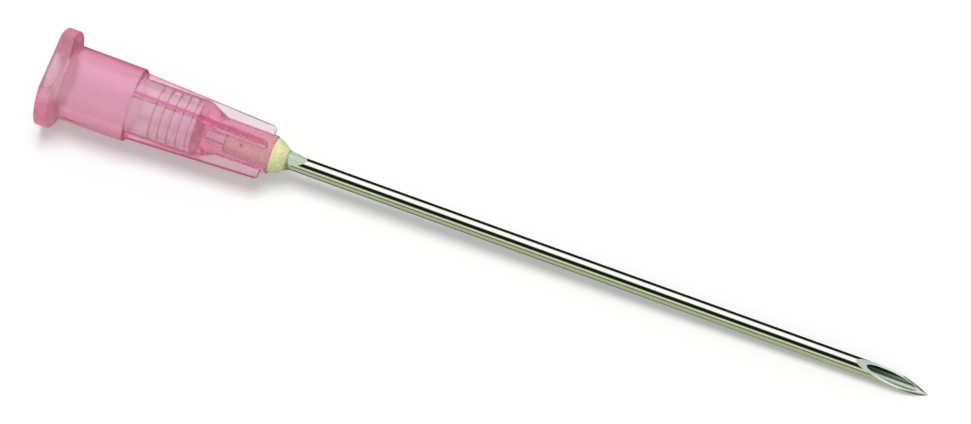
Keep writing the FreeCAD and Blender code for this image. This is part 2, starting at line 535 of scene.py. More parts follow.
@dataclass(frozen=True, kw_only=True)
class ClearFinish:
    """See-through plastic or resin, with a milky share and a tint that grows with depth.

    Attributes:
        hub: The hub, whose sizes the masks follow.
        name: Name of the material.
        tint: Colour that two skins leave of the light that passes them.
        milk_colour: Colour of the share that scatters.
        milk: Share of light that scatters at a skin.
        milk_roughness: Roughness of that share.
        kept: Share of each colour that the depth keeps, against the others.
        density: Strength of the depth's tint, for each metre.
        roughness: Roughness of the skin.
        index: Refractive index.
        grain: Depth of the skin's fine relief, in millimetres.
        grain_size: Size of that relief.
        shade: Share of a lamp's light that a skin stops.
        shadow_tint: Colour of the rest, which evens out the light that the tint adds.
        cloud_size: Size of the soft clouds in the haze.
        cloud_milk: How much the clouds change the milky share.
        cloud_shade: Share of its colour that the haze keeps where they are thick.
        cloud_roughness: How much they change the skin's roughness.
        mottle_size: Size of the fine spots in the haze.
        mottle_milk: How much the spots change the milky share.
    """

    hub: "Hub"
    name: str
    tint: Colour
    milk_colour: Colour
    milk: float
    milk_roughness: float = 0.35
    kept: Colour
    density: float
    roughness: float
    index: float
    grain: float
    grain_size: float = 0.10
    shade: float
    shadow_tint: Colour
    cloud_size: float = 0.9
    cloud_milk: float = 0.6
    cloud_shade: float = 0.85
    cloud_roughness: float = 0.04
    mottle_size: float = 0.16
    mottle_milk: float = 0.8

    def make(self) -> bpy.types.Material:
        """Makes the material, with the bonded skins left out of sight.

        Returns:
            The material.
        """
        material, sheet = new_sheet(self.name)
        place = sheet.own_place(self.hub.lie)
        along, across, up = sheet.parts(place)
        spot = Spot(
            sheet, place, along, across, sheet.math("ABSOLUTE", across), sheet.off_axis(across, up),
            sheet.noise(place, self.cloud_size, 3.0),
        )
        normal = sheet.relief(sheet.noise(place, self.grain_size, 3.0), self.grain)
        clear = sheet.node("ShaderNodeBsdfPrincipled", {}, {
            "Base Color": self.skin_tint(spot),
            "Roughness": self.skin_roughness(spot) + (spot.cloud - 0.5) * self.cloud_roughness,
            "IOR": self.index,
            "Transmission Weight": 1.0,
            "Normal": normal,
        })
        milky = sheet.node("ShaderNodeBsdfPrincipled", {}, {
            "Base Color": self.milk_shades(spot),
            "Roughness": self.milk_roughness,
            "IOR": self.index,
            "Normal": normal,
        })
        through = sheet.node("ShaderNodeBsdfTransparent", {}, {})
        veil = sheet.node("ShaderNodeBsdfTransparent", {}, {"Color": with_alpha(self.shadow_tint)})
        mottle = sheet.noise(place, self.mottle_size).uneven(self.mottle_milk)
        milk = self.milk_share(spot) * spot.cloud.uneven(self.cloud_milk) * mottle
        surface = sheet.blend(milk, clear, milky)
        surface = sheet.blend(sheet.ray("Shadow") * (1 - self.shade), surface, veil)
        surface = sheet.blend(self.bonded(spot), surface, through)
        values = {"Color": with_alpha(self.kept), "Density": self.density}
        volume = sheet.node("ShaderNodeVolumeAbsorption", {}, values)
        sheet.close("ShaderNodeOutputMaterial", Surface=surface, Volume=volume)
        return material

    def skin_tint(self, spot: Spot) -> Union[Flow, tuple]:
        """Gives the tint of the skins, which may change over the piece."""
        return with_alpha(self.tint)

    def skin_roughness(self, spot: Spot) -> Value:
        """Gives the roughness of the skins, which may change over the piece."""
        return self.roughness

    def milk_shades(self, spot: Spot) -> Flow:
        """Gives the uneven colour of the milky share."""
        return spot.sheet.mix(spot.cloud, self.milk_colour, dimmed(self.milk_colour, self.cloud_shade))

    def milk_share(self, spot: Spot) -> Value:
        """Gives the share of light that scatters, which may change over the piece."""
        return self.milk

    def bonded(self, spot: Spot) -> Flow:
        """Gives 1 on skins that are bonded to another piece."""
        raise NotImplementedError


@dataclass(frozen=True, kw_only=True)
class HubPlastic(ClearFinish):
    """Pink polypropylene: satin at the flange and barrel, glossier in front, with clear front fins.

    A step is a soft rise, given by where it starts and ends from the place that it follows.

    Attributes:
        satin: Roughness of the flange and the barrel.
        smoother: How much less rough the neck and the fins are.
        satin_milk: Share of light that scatters there.
        lug_milk: Further share that scatters on the lugs.
        flange_milk: Further share that scatters on the flange, which shows painted shade between the
            lugs.
        rear_fin_milk: Further share that scatters on the fins beside the socket.
        near_fin_shade_share: Further share that scatters on the front fin at the near side, as painted
            shade.
        neck_milk: Further share that scatters on the shoulder and the neck.
        throat_shade_share: Further share that scatters round the throat, as painted shade.
        edge_shade_share: Further share that scatters on the fins' edges, as painted shade.
        ring_shade_share: Further share that scatters on the rings, as painted shade.
        fin_clearness: How much of the haze the fins lack.
        deep_colour: Colour of lugs and rear fins.
        neck_depth: How far the neck's colour goes towards that one.
        painted_dim_shade: Duller colour of painted shade on the flange between its lugs and on the
            near front fin.
        rim_shade_depth: How far the flange's colour goes towards that painted shade.
        near_fin_shade_depth: How far the near front fin's colour does, as painted shade.
        fin_tint: Colour that two skins of a front fin leave.
        painted_line_shade: Dark colour of painted shade along the fins' edges, on the socket's rings
            and round the throat.
        fin_foot: Height above the body and neck where a fin's finish starts.
        clearance: Distance by which marks stay clear of barrel and neck.
        margin: Distance by which edges stay clear of the barrel and pass the fins' front.
        front_step: Step of the front finish at the shoulder.
        rear_step: Step of the satin finish at the barrel's end.
        lug_step: Step of the lugs' finish at the barrel's radius.
        crest_step: Step of the edge's colour below a fin's top.
        crest_lift: How much lower the fins at the sides count their tops.
        fin_front_step: Step of the edge's colour at a fin's front.
        ring_step: Step of a ring's colour away from its middle.
        ring_reach: Distance past the first and last ring that still counts.
        throat_step: Step of the throat's colour behind the tube's seat.
        seat_step: Step that ends it at the seat.
        throat_depth: Depth below the neck's skin at which the throat's colour starts.
    """

    name: str = "hub_plastic"
    tint: Colour = (1.0, 0.96, 0.975)
    milk_colour: Colour = (1.0, 0.66, 0.77)
    milk: float = 0.20
    kept: Colour = (0.99, 0.05, 0.48)
    density: float = 350.0
    roughness: float = 0.22
    index: float = 1.36
    grain: float = 0.0003
    shade: float = 0.74
    shadow_tint: Colour = (0.66, 1.0, 0.93)
    satin: float = 0.21
    smoother: float = 0.12
    satin_milk: float = 0.20
    lug_milk: float = 0.36
    flange_milk: float = 0.22
    rear_fin_milk: float = 0.34
    near_fin_shade_share: float = 0.42
    neck_milk: float = 0.12
    throat_shade_share: float = 0.42
    edge_shade_share: float = 0.56
    ring_shade_share: float = 0.36
    fin_clearness: float = 0.85
    deep_colour: Colour = (1.0, 0.34, 0.52)
    neck_depth: float = 0.45
    painted_dim_shade: Colour = (0.56, 0.30, 0.36)
    rim_shade_depth: float = 0.70
    near_fin_shade_depth: float = 0.70
    fin_tint: Colour = (0.84, 0.94, 0.89)
    painted_line_shade: Colour = (0.60, 0.10, 0.27)
    fin_foot: float = 0.12
    clearance: float = 0.05
    margin: float = 0.02
    front_step: Point = (-0.2, 0.5)
    rear_step: Point = (-0.1, 0.2)
    lug_step: Point = (-0.9, 0.2)
    crest_step: Point = (-0.018, -0.006)
    crest_lift: float = 0.045
    fin_front_step: Point = (-0.07, -0.02)
    ring_step: Point = (0.03, 0.09)
    ring_reach: float = 0.1
    throat_step: Point = (-0.95, -0.45)
    seat_step: Point = (-0.05, 0.05)
    throat_depth: float = 0.4

    def fins(self, spot: Spot) -> Flow:
        """Gives 1 on the fins, clear of the body, the shoulder and the neck.

        Args:
            spot: The place that is shaded.

        Returns:
            The mask.
        """
        slope = spot.along.between(self.hub.shoulder_at, self.hub.neck_at)
        fall = self.hub.body_radius - self.hub.fin_front_foot
        foot = self.hub.body_radius + self.fin_foot - fall * slope
        return (spot.radius - foot > 0.0) * (spot.along > self.hub.barrel_length + self.clearance)

    def beside(self, spot: Spot) -> Flow:
        """Gives 1 away from the middle plane, where the fins at the sides stand."""
        return spot.side > self.hub.fin_front_foot

    def front(self, spot: Spot) -> Flow:
        """Gives how far a place lies towards the front fins."""
        return spot.along.step(self.hub.shoulder_at, self.front_step)

    def rear(self, spot: Spot) -> Flow:
        """Gives 1 at the flange and the barrel."""
        return 1 - spot.along.step(self.hub.barrel_length, self.rear_step)

    def edges(self, spot: Spot) -> Flow:
        """Gives 1 along the fins' tops and front edges, where a dark line of painted shade goes.

        Args:
            spot: The place that is shaded.

        Returns:
            The mask.
        """
        hub = self.hub
        level = spot.radius + hub.fin_fall * spot.along + self.crest_lift * self.beside(spot)
        crest = level.step(hub.fin_rear_top + hub.fin_fall * hub.fin_rear, self.crest_step)
        front = spot.along.step(hub.fin_front, self.fin_front_step)
        front = front * (spot.along < hub.fin_front + self.margin)
        front = front * (spot.radius > hub.fin_front_foot + self.clearance)
        return crest.either(front) * (spot.along > hub.barrel_length + self.margin)

    def rings(self, spot: Spot) -> Flow:
        """Gives 1 on the socket's raised rings, which get painted shade.

        Args:
            spot: The place that is shaded.

        Returns:
            The mask.
        """
        last, first = self.hub.ring_middles[0], self.hub.ring_middles[-1]
        away = spot.sheet.math("PINGPONG", spot.along - last, self.hub.ring_pitch / 2)
        widest = self.hub.socket_radius(first) + self.hub.ring_height
        mark = (1 - away.step(0.0, self.ring_step)) * (spot.radius < widest)
        return mark * (spot.along > first - self.ring_reach) * (spot.along < last + self.ring_reach)

    def throat(self, spot: Spot) -> Flow:
        """Gives 1 round the throat between the socket and the tube's seat, which gets painted shade.

        Args:
            spot: The place that is shaded.

        Returns:
            The mask.
        """
        seat = self.hub.tube_seat - CLOSE
        mark = spot.along.step(seat, self.throat_step) * (1 - spot.along.step(seat, self.seat_step))
        return mark * (spot.radius < self.hub.fin_front_foot - self.throat_depth)

    def flange(self, spot: Spot) -> Flow:
        """Gives 1 on the flange."""
        return spot.along < self.hub.root_thickness

    def lugs(self, spot: Spot) -> Flow:
        """Gives 1 on the lugs."""
        return self.flange(spot) * spot.side.step(self.hub.barrel_rear_radius, self.lug_step)

    def rear_fins(self, spot: Spot) -> Flow:
        """Gives 1 on the fins that stand beside the socket."""
        return self.fins(spot) * self.beside(spot) * (1 - self.front(spot))

    def shaded_near_fin(self, spot: Spot) -> Flow:
        """Gives 1 on the front fin at the near side, which gets painted shade."""
        return self.fins(spot) * self.front(spot) * (spot.across < -self.hub.fin_front_foot)

    def skin_tint(self, spot: Spot) -> Union[Flow, tuple]:
        """Gives the tint of the skins, which is slight on the front fins."""
        return spot.sheet.mix(self.fins(spot) * self.front(spot), self.tint, self.fin_tint)

    def skin_roughness(self, spot: Spot) -> Value:
        """Gives a satin skin back to the barrel's end and smoother ones in front."""
        rough = self.roughness + (self.satin - self.roughness) * self.rear(spot)
        return rough - self.smoother * self.front(spot).either(self.fins(spot))

    def milk_shades(self, spot: Spot) -> Flow:
        """Gives the colour of the milky share, deeper on lugs and fins, and darker in places with
        painted shade.

        Args:
            spot: The place that is shaded.

        Returns:
            The colour.
        """
        mix = spot.sheet.mix
        neck = self.neck_depth * self.front(spot) * (1 - self.fins(spot))
        deep = self.lugs(spot).either(self.rear_fins(spot)).either(neck)
        plain = mix(deep, super().milk_shades(spot), self.deep_colour)
        # Painted shade: the flange between its lugs dimmed towards a darker colour.
        rim = self.rim_shade_depth * self.flange(spot) * (1 - self.lugs(spot))
        # Painted shade: the near front fin darker, as if the floor's shadow lay behind it.
        shaded_near_fin = self.near_fin_shade_depth * self.shaded_near_fin(spot)
        plain = mix(rim.either(shaded_near_fin), plain, self.painted_dim_shade)
        # Painted shade: dark lines along the fins' edges, on the rings and round the throat.
        lines = self.edges(spot).either(self.rings(spot)).either(self.throat(spot))
        return mix(lines, plain, self.painted_line_shade)

    def milk_share(self, spot: Spot) -> Value:
        """Gives more haze at the satin end and on the neck, and little in the front fins.

        Args:
            spot: The place that is shaded.

        Returns:
            The share.
        """
        share = self.milk + (self.satin_milk - self.milk) * self.rear(spot)
        share = share + self.neck_milk * self.front(spot)
        share = share * (1 - self.fin_clearness * self.fins(spot))
        # Some shares below carry painted shade: on the flange between the lugs, the near front fin,
        # the throat, the fins' edges and the rings.
        for further, mask in (
            (self.lug_milk, self.lugs),
            (self.flange_milk, self.flange),
            (self.rear_fin_milk, self.rear_fins),
            (self.near_fin_shade_share, self.shaded_near_fin),
            (self.throat_shade_share, self.throat),
            (self.edge_shade_share, self.edges),
            (self.ring_shade_share, self.rings),
        ):
            share = share + further * mask(spot)
        return share

    def bonded(self, spot: Spot) -> Flow:
        """Gives 1 in the tube's seat, in the glue well and under the bead."""
        return (spot.along > self.hub.tube_seat - CLOSE) * (spot.radius < self.hub.bond_radius)


@dataclass(frozen=True, kw_only=True)
class CuredAdhesive(ClearFinish):
    """Pale yellow cured adhesive, cloudy where it is thick and clear as a film.

    Attributes:
        film_milk: Share of light that scatters where the adhesive is a thin film.
        film_step: Step from film to thick adhesive, from the tube's skin outwards.
        filling_milk: Share that scatters on the filling of the well.
        filling_colour: Colour of the filling's milky share.
        rear_shade_share: Further share that scatters at the filling's rear end, as painted shade.
        painted_rear_shade: Dark colour of that end, painted shade where the filling met air.
        rear_step: Step from that end to the filling's plain colour.
        bubble_at: Middle of the air bubble at the filling's skin.
        bubble_radius: Radius of that bubble.
        bubble_step: Step at its edge.
        margin: Distance past the face or the tube that still counts as at it.
    """

    name: str = "bond_adhesive"
    tint: Colour = (0.76, 0.99, 0.96)
    milk_colour: Colour = (0.95, 0.97, 0.50)
    milk: float = 0.85
    kept: Colour = (0.85, 0.92, 0.30)
    density: float = 220.0
    roughness: float = 0.10
    index: float = 1.50
    grain: float = 0.0004
    shade: float = 0.6
    shadow_tint: Colour = WHITE
    film_milk: float = 0.16
    film_step: Point = (0.06, 0.30)
    filling_milk: float = 0.80
    filling_colour: Colour = (1.0, 0.84, 0.60)
    rear_shade_share: float = 0.15
    painted_rear_shade: Colour = (0.22, 0.07, 0.10)
    rear_step: Point = (0.04, 0.14)
    bubble_at: tuple[float, float, float] = (15.60, -0.39, 0.73)
    bubble_radius: float = 0.10
    bubble_step: Point = (-0.03, 0.01)
    margin: float = 0.01

    def milk_shades(self, spot: Spot) -> Flow:
        """Gives the uneven colour of the milky share, with painted shade at the rear end and at the
        bubble.

        Args:
            spot: The place that is shaded.

        Returns:
            The colour.
        """
        mix = spot.sheet.mix
        plain = mix(self.inside(spot), super().milk_shades(spot), self.filling_colour)
        # Painted shade: dark at the filling's rear end, and a dark spot for the air bubble.
        return mix(self.rear(spot).either(self.bubble(spot)), plain, self.painted_rear_shade)

    def inside(self, spot: Spot) -> Flow:
        """Gives 1 on the filling, inside the hub."""
        return spot.along < self.hub.front_face + self.margin

    def bubble(self, spot: Spot) -> Flow:
        """Gives 1 on the bubble at the filling's skin, which is painted as a dark spot of shade.

        Args:
            spot: The place that is shaded.

        Returns:
            The mask.
        """
        values = {0: spot.place, 1: self.bubble_at}
        away = spot.sheet.node("ShaderNodeVectorMath", {"operation": "DISTANCE"}, values, "Value")
        return 1 - away.step(self.bubble_radius, self.bubble_step)

    def rear(self, spot: Spot) -> Flow:
        """Gives 1 at the filling's rear end, where painted shade goes."""
        return 1 - spot.along.step(self.hub.well_rear, self.rear_step)

    def milk_share(self, spot: Spot) -> Value:
        """Gives a large share inside the hub and in the bead, and a small one in the film.

        Args:
            spot: The place that is shaded.

        Returns:
            The share.
        """
        thick = spot.radius.step(self.hub.tube_radius, self.film_step)
        bead = self.film_milk + (self.milk - self.film_milk) * thick
        filling = self.inside(spot)
        return bead * (1 - filling) + (self.filling_milk + self.rear_shade_share * self.rear(spot)) * filling

    def bonded(self, spot: Spot) -> Flow:
        """Gives 1 on the tube."""
        return spot.radius < self.hub.tube_radius + self.margin


@dataclass(frozen=True, kw_only=True)
class Steel:
    """Steel with fine lines.

    Attributes:
        lie: How the needle lies.
        name: Name of the material.
        colour: Colour of its reflections.
        roughness: Roughness between the lines.
        line_roughness: How much rougher the lines are.
        line_stretch: How the lines' pattern is squeezed, along the tube and across it.
        line_size: Width of the lines.
        line_depth: Depth of the lines.
    """

    lie: Lie
    name: str
    colour: Colour
    roughness: float
    line_roughness: float
    line_stretch: Colour
    line_size: float
    line_depth: float

    def make(self) -> bpy.types.Material:
        """Makes the material.

        Returns:
            The material.
        """
        material, sheet = new_sheet(self.name)
        place = sheet.own_place(self.lie)
        lines = sheet.noise(sheet.scaled(place, self.line_stretch), self.line_size)
        shades, uneven = self.shades(sheet, place, lines)
        surface = sheet.node("ShaderNodeBsdfPrincipled", {}, {
            "Base Color": shades,
            "Metallic": 1.0,
            "Roughness": self.roughness + self.line_roughness * lines + uneven,
            "Normal": sheet.relief(lines, self.line_depth),
        })
        sheet.close("ShaderNodeOutputMaterial", Surface=surface)
        return material

    def shades(self, sheet: Sheet, place: Flow, lines: Flow) -> tuple[Flow, Value]:
        """Gives the colour of the reflections, and how much rougher the steel is in places."""
        raise NotImplementedError


@dataclass(frozen=True, kw_only=True)
class DrawnSteel(Steel):
    """Bright drawn steel with fine lines along the tube, dull in its bore and dark there with painted
    shade.

    Attributes:
        bore_radius: Radius of the bore.
        patch_shade: Share of the colour that faint patches keep.
        patch_size: Size of the patches.
        patch_roughness: How much rougher the patches are.
        bore_dull_and_painted_shade: Colour of the bore's reflections, darker as duller steel and as
            painted shade of the hollow.
        bore_shade: Colour of them on the side away from the light.
        shade_from: Distances across the bore between which that side starts.
        bore_margin: Distance past the bore's radius that still counts as bore.
        bore_roughness: How much rougher the bore is.
    """

    name: str = "tube_steel"
    colour: Colour = (0.74, 0.74, 0.71)
    roughness: float = 0.07
    line_roughness: float = 0.06
    line_stretch: Colour = (0.06, 1.0, 1.0)
    line_size: float = 0.035
    line_depth: float = 0.0008
    bore_radius: float
    patch_shade: float = 0.9
    patch_size: float = 2.5
    patch_roughness: float = 0.04
    bore_dull_and_painted_shade: Colour = (0.46, 0.53, 0.45)
    bore_shade: Colour = (0.03, 0.04, 0.03)
    shade_from: Point = (0.22, 0.40)
    bore_margin: float = 0.02
    bore_roughness: float = 0.25

    def shades(self, sheet: Sheet, place: Flow, lines: Flow) -> tuple[Flow, Value]:
        """Gives faint patches outside, and in the bore a darker colour, partly duller steel and partly
        painted shade.

        Args:
            sheet: The finish's tree.
            place: The place in own millimetres.
            lines: Noise of the lines, from 0 to 1; not used here.

        Returns:
            The colour, and the further roughness.
        """
        _, across, up = sheet.parts(place)
        inside = sheet.off_axis(across, up) < self.bore_radius + self.bore_margin
        # Painted shade in the bore: darker than outside, and darkest on the side away from the light.
        bore = sheet.mix(across.between(*self.shade_from), self.bore_dull_and_painted_shade, self.bore_shade)
        patches = sheet.noise(place, self.patch_size, 3.0)
        outside = sheet.mix(patches, self.colour, dimmed(self.colour, self.patch_shade))
        uneven = self.patch_roughness * patches + self.bore_roughness * inside
        return sheet.mix(inside, outside, bore), uneven


@dataclass(frozen=True, kw_only=True)
class GroundSteel(Steel):
    """Duller steel of the ground bevel, with wheel lines across it.

    Attributes:
        bright_at: Where the brighter part starts, past the heel.
        bright_rise: Length over which it starts.
        bright_colour: Colour of its reflections, where the wheel left it smoother.
        heel_line_shade: Share of the heel's colour that its wheel lines keep.
        painted_far_grind_dark: Colour of the reflections on the far side grind, a painted dark
            reflection.
        side_lean: How far a face leans away from the camera's side to count as that grind.
    """

    name: str = "tube_steel_ground"
    colour: Colour = (0.42, 0.49, 0.42)
    roughness: float = 0.24
    line_roughness: float = 0.12
    line_stretch: Colour = (1.0, 0.10, 0.10)
    line_size: float = 0.03
    line_depth: float = 0.002
    bright_at: float
    bright_rise: float = 0.9
    bright_colour: Colour = (0.61, 0.70, 0.60)
    heel_line_shade: float = 0.82
    painted_far_grind_dark: Colour = (0.06, 0.08, 0.05)
    side_lean: float = 0.4

    def shades(self, sheet: Sheet, place: Flow, lines: Flow) -> tuple[Flow, Value]:
        """Gives a lined heel, a brighter part past it and a painted dark reflection on the far side
        grind.

        Args:
            sheet: The finish's tree.
            place: The place in own millimetres.
            lines: Noise of the lines, from 0 to 1.

        Returns:
            The colour, and the further roughness.
        """
        along, _, _ = sheet.parts(place)
        bright = along.between(self.bright_at, self.bright_at + self.bright_rise)
        plain = sheet.mix(bright, self.colour, self.bright_colour)
        darker = sheet.mix(bright, dimmed(self.colour, self.heel_line_shade), self.colour)
        # Painted reflection: faces that lean to the far side are darkened.
        _, away, _ = sheet.parts(sheet.node("ShaderNodeTexCoord", {}, {}, "Normal"))
        return sheet.mix(away > self.side_lean, sheet.mix(lines, plain, darker), self.painted_far_grind_dark), 0.0


# The hub


class Role(Enum):
    """What a column of the hub's skin follows."""

    CREST = 0
    EDGE = 1
    FOOT = 2
    ROOT = 3
    WALL = 4


@dataclass(frozen=True)
class Column:
    """One column of the hub's skin, from the socket's mouth round to it again.

    Attributes:
        role: What it follows.
        quarter: Quarter turn from +Y of its fin, or of the fin before it.
        side: Side of the fin, 1 or -1, or 0 in its middle.
        share: Turn round the fin's edge, or place between the roots, from 0 to 1 and 2.
    """

    role: Role
    quarter: int
    side: int = 0
    share: float = 0.0


@dataclass
class Hub:
    """The moulded hub: flange, barrel, finned body, shoulder and neck, hollow inside.

    All sizes are in millimetres, and x runs from the socket's mouth.

    Attributes:
        lie: How the needle lies.
        socket_mouth: Diameter of the socket's mouth.
        socket_taper: How much narrower the socket gets for each millimetre of depth.
        socket_depth: Depth of the socket.
        mouth_round: Radius of the mouth's edge.
        floor_depth: Length of the funnel behind the socket.
        floor_round: Radius of the corner between them.
        throat_length: Length of the throat behind the funnel.
        throat_round: Radius of the corner between them.
        grip_length: Length of the seat that grips the tube.
        tube_radius: Radius of the tube.
        bore_radius: Radius of its bore and of the throat.
        glue_gap: Gap round the tube at the rear end of the glue well.
        well_depth: Length of the well.
        well_draft: How much the well's radius grows for each millimetre.
        well_chamfer: Chamfer of the well's mouth.
        ring_count: Number of rings in the socket.
        ring_pitch: Distance from one ring to the next.
        ring_setback: Distance from the socket's floor to the first ring.
        ring_height: How far a ring stands out.
        ring_width: Width of a ring at its foot.
        barrel_length: Where the barrel ends.
        barrel_wall: Wall of the barrel at the socket's mouth.
        barrel_draft: How much its radius shrinks for each millimetre.
        barrel_round: Radius of its front edge.
        body_wall: Wall of the body in front of the barrel.
        shoulder_setback: Distance from the socket's floor to the shoulder.
        shoulder_length: Length of the shoulder.
        shoulder_round: Radius of its outer corner.
        neck_wall: Wall of the neck round the well's mouth.
        neck_draft: How much the neck's radius shrinks for each millimetre.
        inner_round: Radius of the inner corners at the barrel's end and the neck.
        face_round: Radius of the front face's edge.
        bead_margin: Distance from that edge inwards to the skin that the bead covers.
        lug_height: How far the lugs stand out from the barrel.
        flat_lip: How far the flats do.
        rim_thickness: Thickness of the flange at the lugs' ends.
        root_thickness: Thickness of it at the barrel.
        rim_round: Radius of its edges.
        root_round: Radius of the corner where flange and barrel meet.
        fin_half: Half the thickness of a fin.
        fin_step: How far the fins' tops lie below the barrel.
        fin_rear_setback: How far inside the barrel the fins start.
        fin_front_height: Height of the fins over the neck at their front.
        fin_setback: Distance from the front face to that front.
        fin_front_round: Radius of the fins' front corners.
        fin_edge_round: Radius of their edges.
        foot_round: Radius of their feet.
        least_sine: Least sine by which a flat's reach is divided.
        lug_columns: Columns of the skin from the fin behind a lug to the lug's corner.
        flat_columns: Columns from that corner to the fin behind a flat.
        edge_columns: Columns round each edge of a fin.
        edge_gather: Share of the edge's width that they keep on the round skin.
        foot_step: Distance there from a fin's side to its foot's column.
        corner_rings: Rings round the fins' front corners.
        front_edge_rings: Rings down the fins' front edges.
        flange_run: Distance from the flange to its last ring.
        barrel_run: Distance from the flange to the barrel's first ring.
        outer_stations: Places of further rings outside.
        socket_stations: Places of further rings in the socket.
    """

    lie: Lie

    # Socket, and the way from it to the tube
    socket_mouth: float = 4.28
    socket_taper: float = 0.06
    socket_depth: float = 11.90
    mouth_round: float = 0.12
    floor_depth: float = 0.40
    floor_round: float = 0.30
    throat_length: float = 0.35
    throat_round: float = 0.04
    grip_length: float = 1.65
    tube_radius: float = 0.635
    bore_radius: float = 0.45
    glue_gap: float = 0.165
    well_depth: float = 3.75
    well_draft: float = 0.02
    well_chamfer: float = 0.12

    # Rings in the socket
    ring_count: int = 5
    ring_pitch: float = 0.735
    ring_setback: float = 0.36
    ring_height: float = 0.05
    ring_width: float = 0.22

    # Barrel, body, shoulder and neck
    barrel_length: float = 6.80
    barrel_wall: float = 0.81
    barrel_draft: float = 0.0088
    barrel_round: float = 0.10
    body_wall: float = 0.334
    shoulder_setback: float = 0.34
    shoulder_length: float = 1.60
    shoulder_round: float = 1.90
    neck_wall: float = 0.63
    neck_draft: float = 0.012
    inner_round: float = 0.08
    face_round: float = 0.08
    bead_margin: float = 0.02

    # Flange and lugs
    lug_height: float = 0.95
    flat_lip: float = 0.17
    rim_thickness: float = 1.00
    root_thickness: float = 1.36
    rim_round: float = 0.10
    root_round: float = 0.05

    # Fins
    fin_half: float = 0.225
    fin_step: float = 0.09
    fin_rear_setback: float = 0.30
    fin_front_height: float = 0.75
    fin_setback: float = 0.48
    fin_front_round: float = 0.32
    fin_edge_round: float = 0.16
    foot_round: float = 0.03

    # How the skin is divided
    least_sine: float = 0.01
    lug_columns: int = 16
    flat_columns: int = 11
    edge_columns: int = 4
    edge_gather: float = 0.94
    foot_step: float = 0.006
    corner_rings: int = 7
    front_edge_rings: int = 3
    flange_run: float = 0.6
    barrel_run: float = 1.0
    outer_stations: tuple[float, ...] = (3.5, 4.5, 5.5, 6.2, 8.0, 9.0, 10.0, 11.0, 14.8, 15.7, 16.6)
    socket_stations: tuple[float, ...] = (6.4, 4.2, 2.0)

    def __post_init__(self) -> None:
        """Works out the places that follow from the sizes."""
        self.tube_seat = self.socket_depth + self.floor_depth + self.throat_length
        self.well_rear = self.tube_seat + self.grip_length
        self.front_face = self.well_rear + self.well_depth
        self.well_rear_radius = self.tube_radius + self.glue_gap
        self.well_front_radius = self.well_rear_radius + self.well_draft * self.well_depth
        self.neck_front_radius = self.well_front_radius + self.neck_wall
        self.barrel_rear_radius = self.socket_mouth / 2 + self.barrel_wall
        self.barrel_front_radius = self.barrel_rear_radius - self.barrel_draft * self.barrel_length
        self.body_radius = self.socket_radius(self.barrel_length) + self.body_wall
        deepest = self.socket_depth - self.ring_setback
        self.ring_middles = [deepest - index * self.ring_pitch for index in range(self.ring_count)]
        self.shoulder_at = self.socket_depth + self.shoulder_setback
        self.neck_at = self.shoulder_at + self.shoulder_length
        neck_length = self.front_face - self.neck_at
        self.neck_rear_radius = self.neck_front_radius + self.neck_draft * neck_length
        self.bond_radius = self.neck_front_radius - self.face_round - self.bead_margin
        self.lug_radius = self.barrel_rear_radius + self.lug_height
        self.flat_half = self.barrel_rear_radius + self.flat_lip
        self.lug_corner = math.asin(self.flat_half / self.lug_radius)
        self.fin_rear = self.barrel_length - self.fin_rear_setback
        self.fin_rear_top = self.barrel_front_radius - self.fin_step
        self.fin_front = self.front_face - self.fin_setback
        self.fin_front_foot = self.neck_radius(self.fin_front)
        self.fin_front_top = self.neck_front_radius + self.fin_front_height
        self.fin_fall = (self.fin_rear_top - self.fin_front_top) / (self.fin_front - self.fin_rear)
        self.columns = self.lay_columns()

    def socket_radius(self, depth: float) -> float:
        """Gives the tapered socket's radius at a depth from its mouth."""
        return self.socket_mouth / 2 - depth * self.socket_taper / 2

    def lay_columns(self) -> list[Column]:
        """Lays out the columns in order round the axis, starting from +Y.

        Returns:
            The columns of all four quarters.
        """
        turns = spread(0.0, 1.0, self.edge_columns)
        columns = []
        for quarter in range(4):
            following = (quarter + 1) % 4
            columns.append(Column(Role.CREST, quarter))
            columns += [Column(Role.EDGE, quarter, 1, turn) for turn in turns]
            columns += [Column(Role.FOOT, quarter, 1), Column(Role.ROOT, quarter, 1)]
            near, far = self.lug_columns, self.flat_columns
            if quarter % 2:
                near, far = far, near
            shares = spread(0.0, 1.0, near + 1)[1:] + spread(1.0, 2.0, far + 1)[1:-1]
            columns += [Column(Role.WALL, quarter, 0, share) for share in shares]
            columns += [Column(Role.ROOT, following, -1), Column(Role.FOOT, following, -1)]
            columns += [Column(Role.EDGE, following, -1, turn) for turn in reversed(turns)]
        return columns

    def side_step(self, column: Column) -> float:
        """Gives a fin column's distance from the fin's middle where it lies on the round skin.

        Args:
            column: The column.

        Returns:
            The distance in millimetres.
        """
        flat = self.fin_half - self.fin_edge_round
        if column.role is Role.CREST:
            return 0.0
        if column.role is Role.EDGE:
            edge = self.fin_edge_round * math.sin(column.share * math.pi / 2)
            return flat + edge * self.edge_gather
        return self.fin_half + (self.foot_step if column.role is Role.FOOT else self.foot_round)

    def angle(self, column: Column, radius: float) -> float:
        """Gives a column's angle from +Y where it lies on the round skin.

        Args:
            column: The column.
            radius: The skin's radius there.

        Returns:
            The angle in radians.
        """
        radius = max(radius, self.neck_front_radius)
        start = column.quarter * math.pi / 2
        if column.role is not Role.WALL:
            return start + column.side * math.asin(self.side_step(column) / radius)
        root = math.asin((self.fin_half + self.foot_round) / radius)
        corner = self.lug_corner if column.quarter % 2 == 0 else math.pi / 2 - self.lug_corner
        if column.share <= 1:
            return start + root + (corner - root) * column.share
        return start + corner + (math.pi / 2 - root - corner) * (column.share - 1)

    def on_round(self, column: Column, x: float, radius: float) -> Vector:
        """Gives a column's point on the round skin."""
        return turned([(x, radius)], self.angle(column, radius))[0]

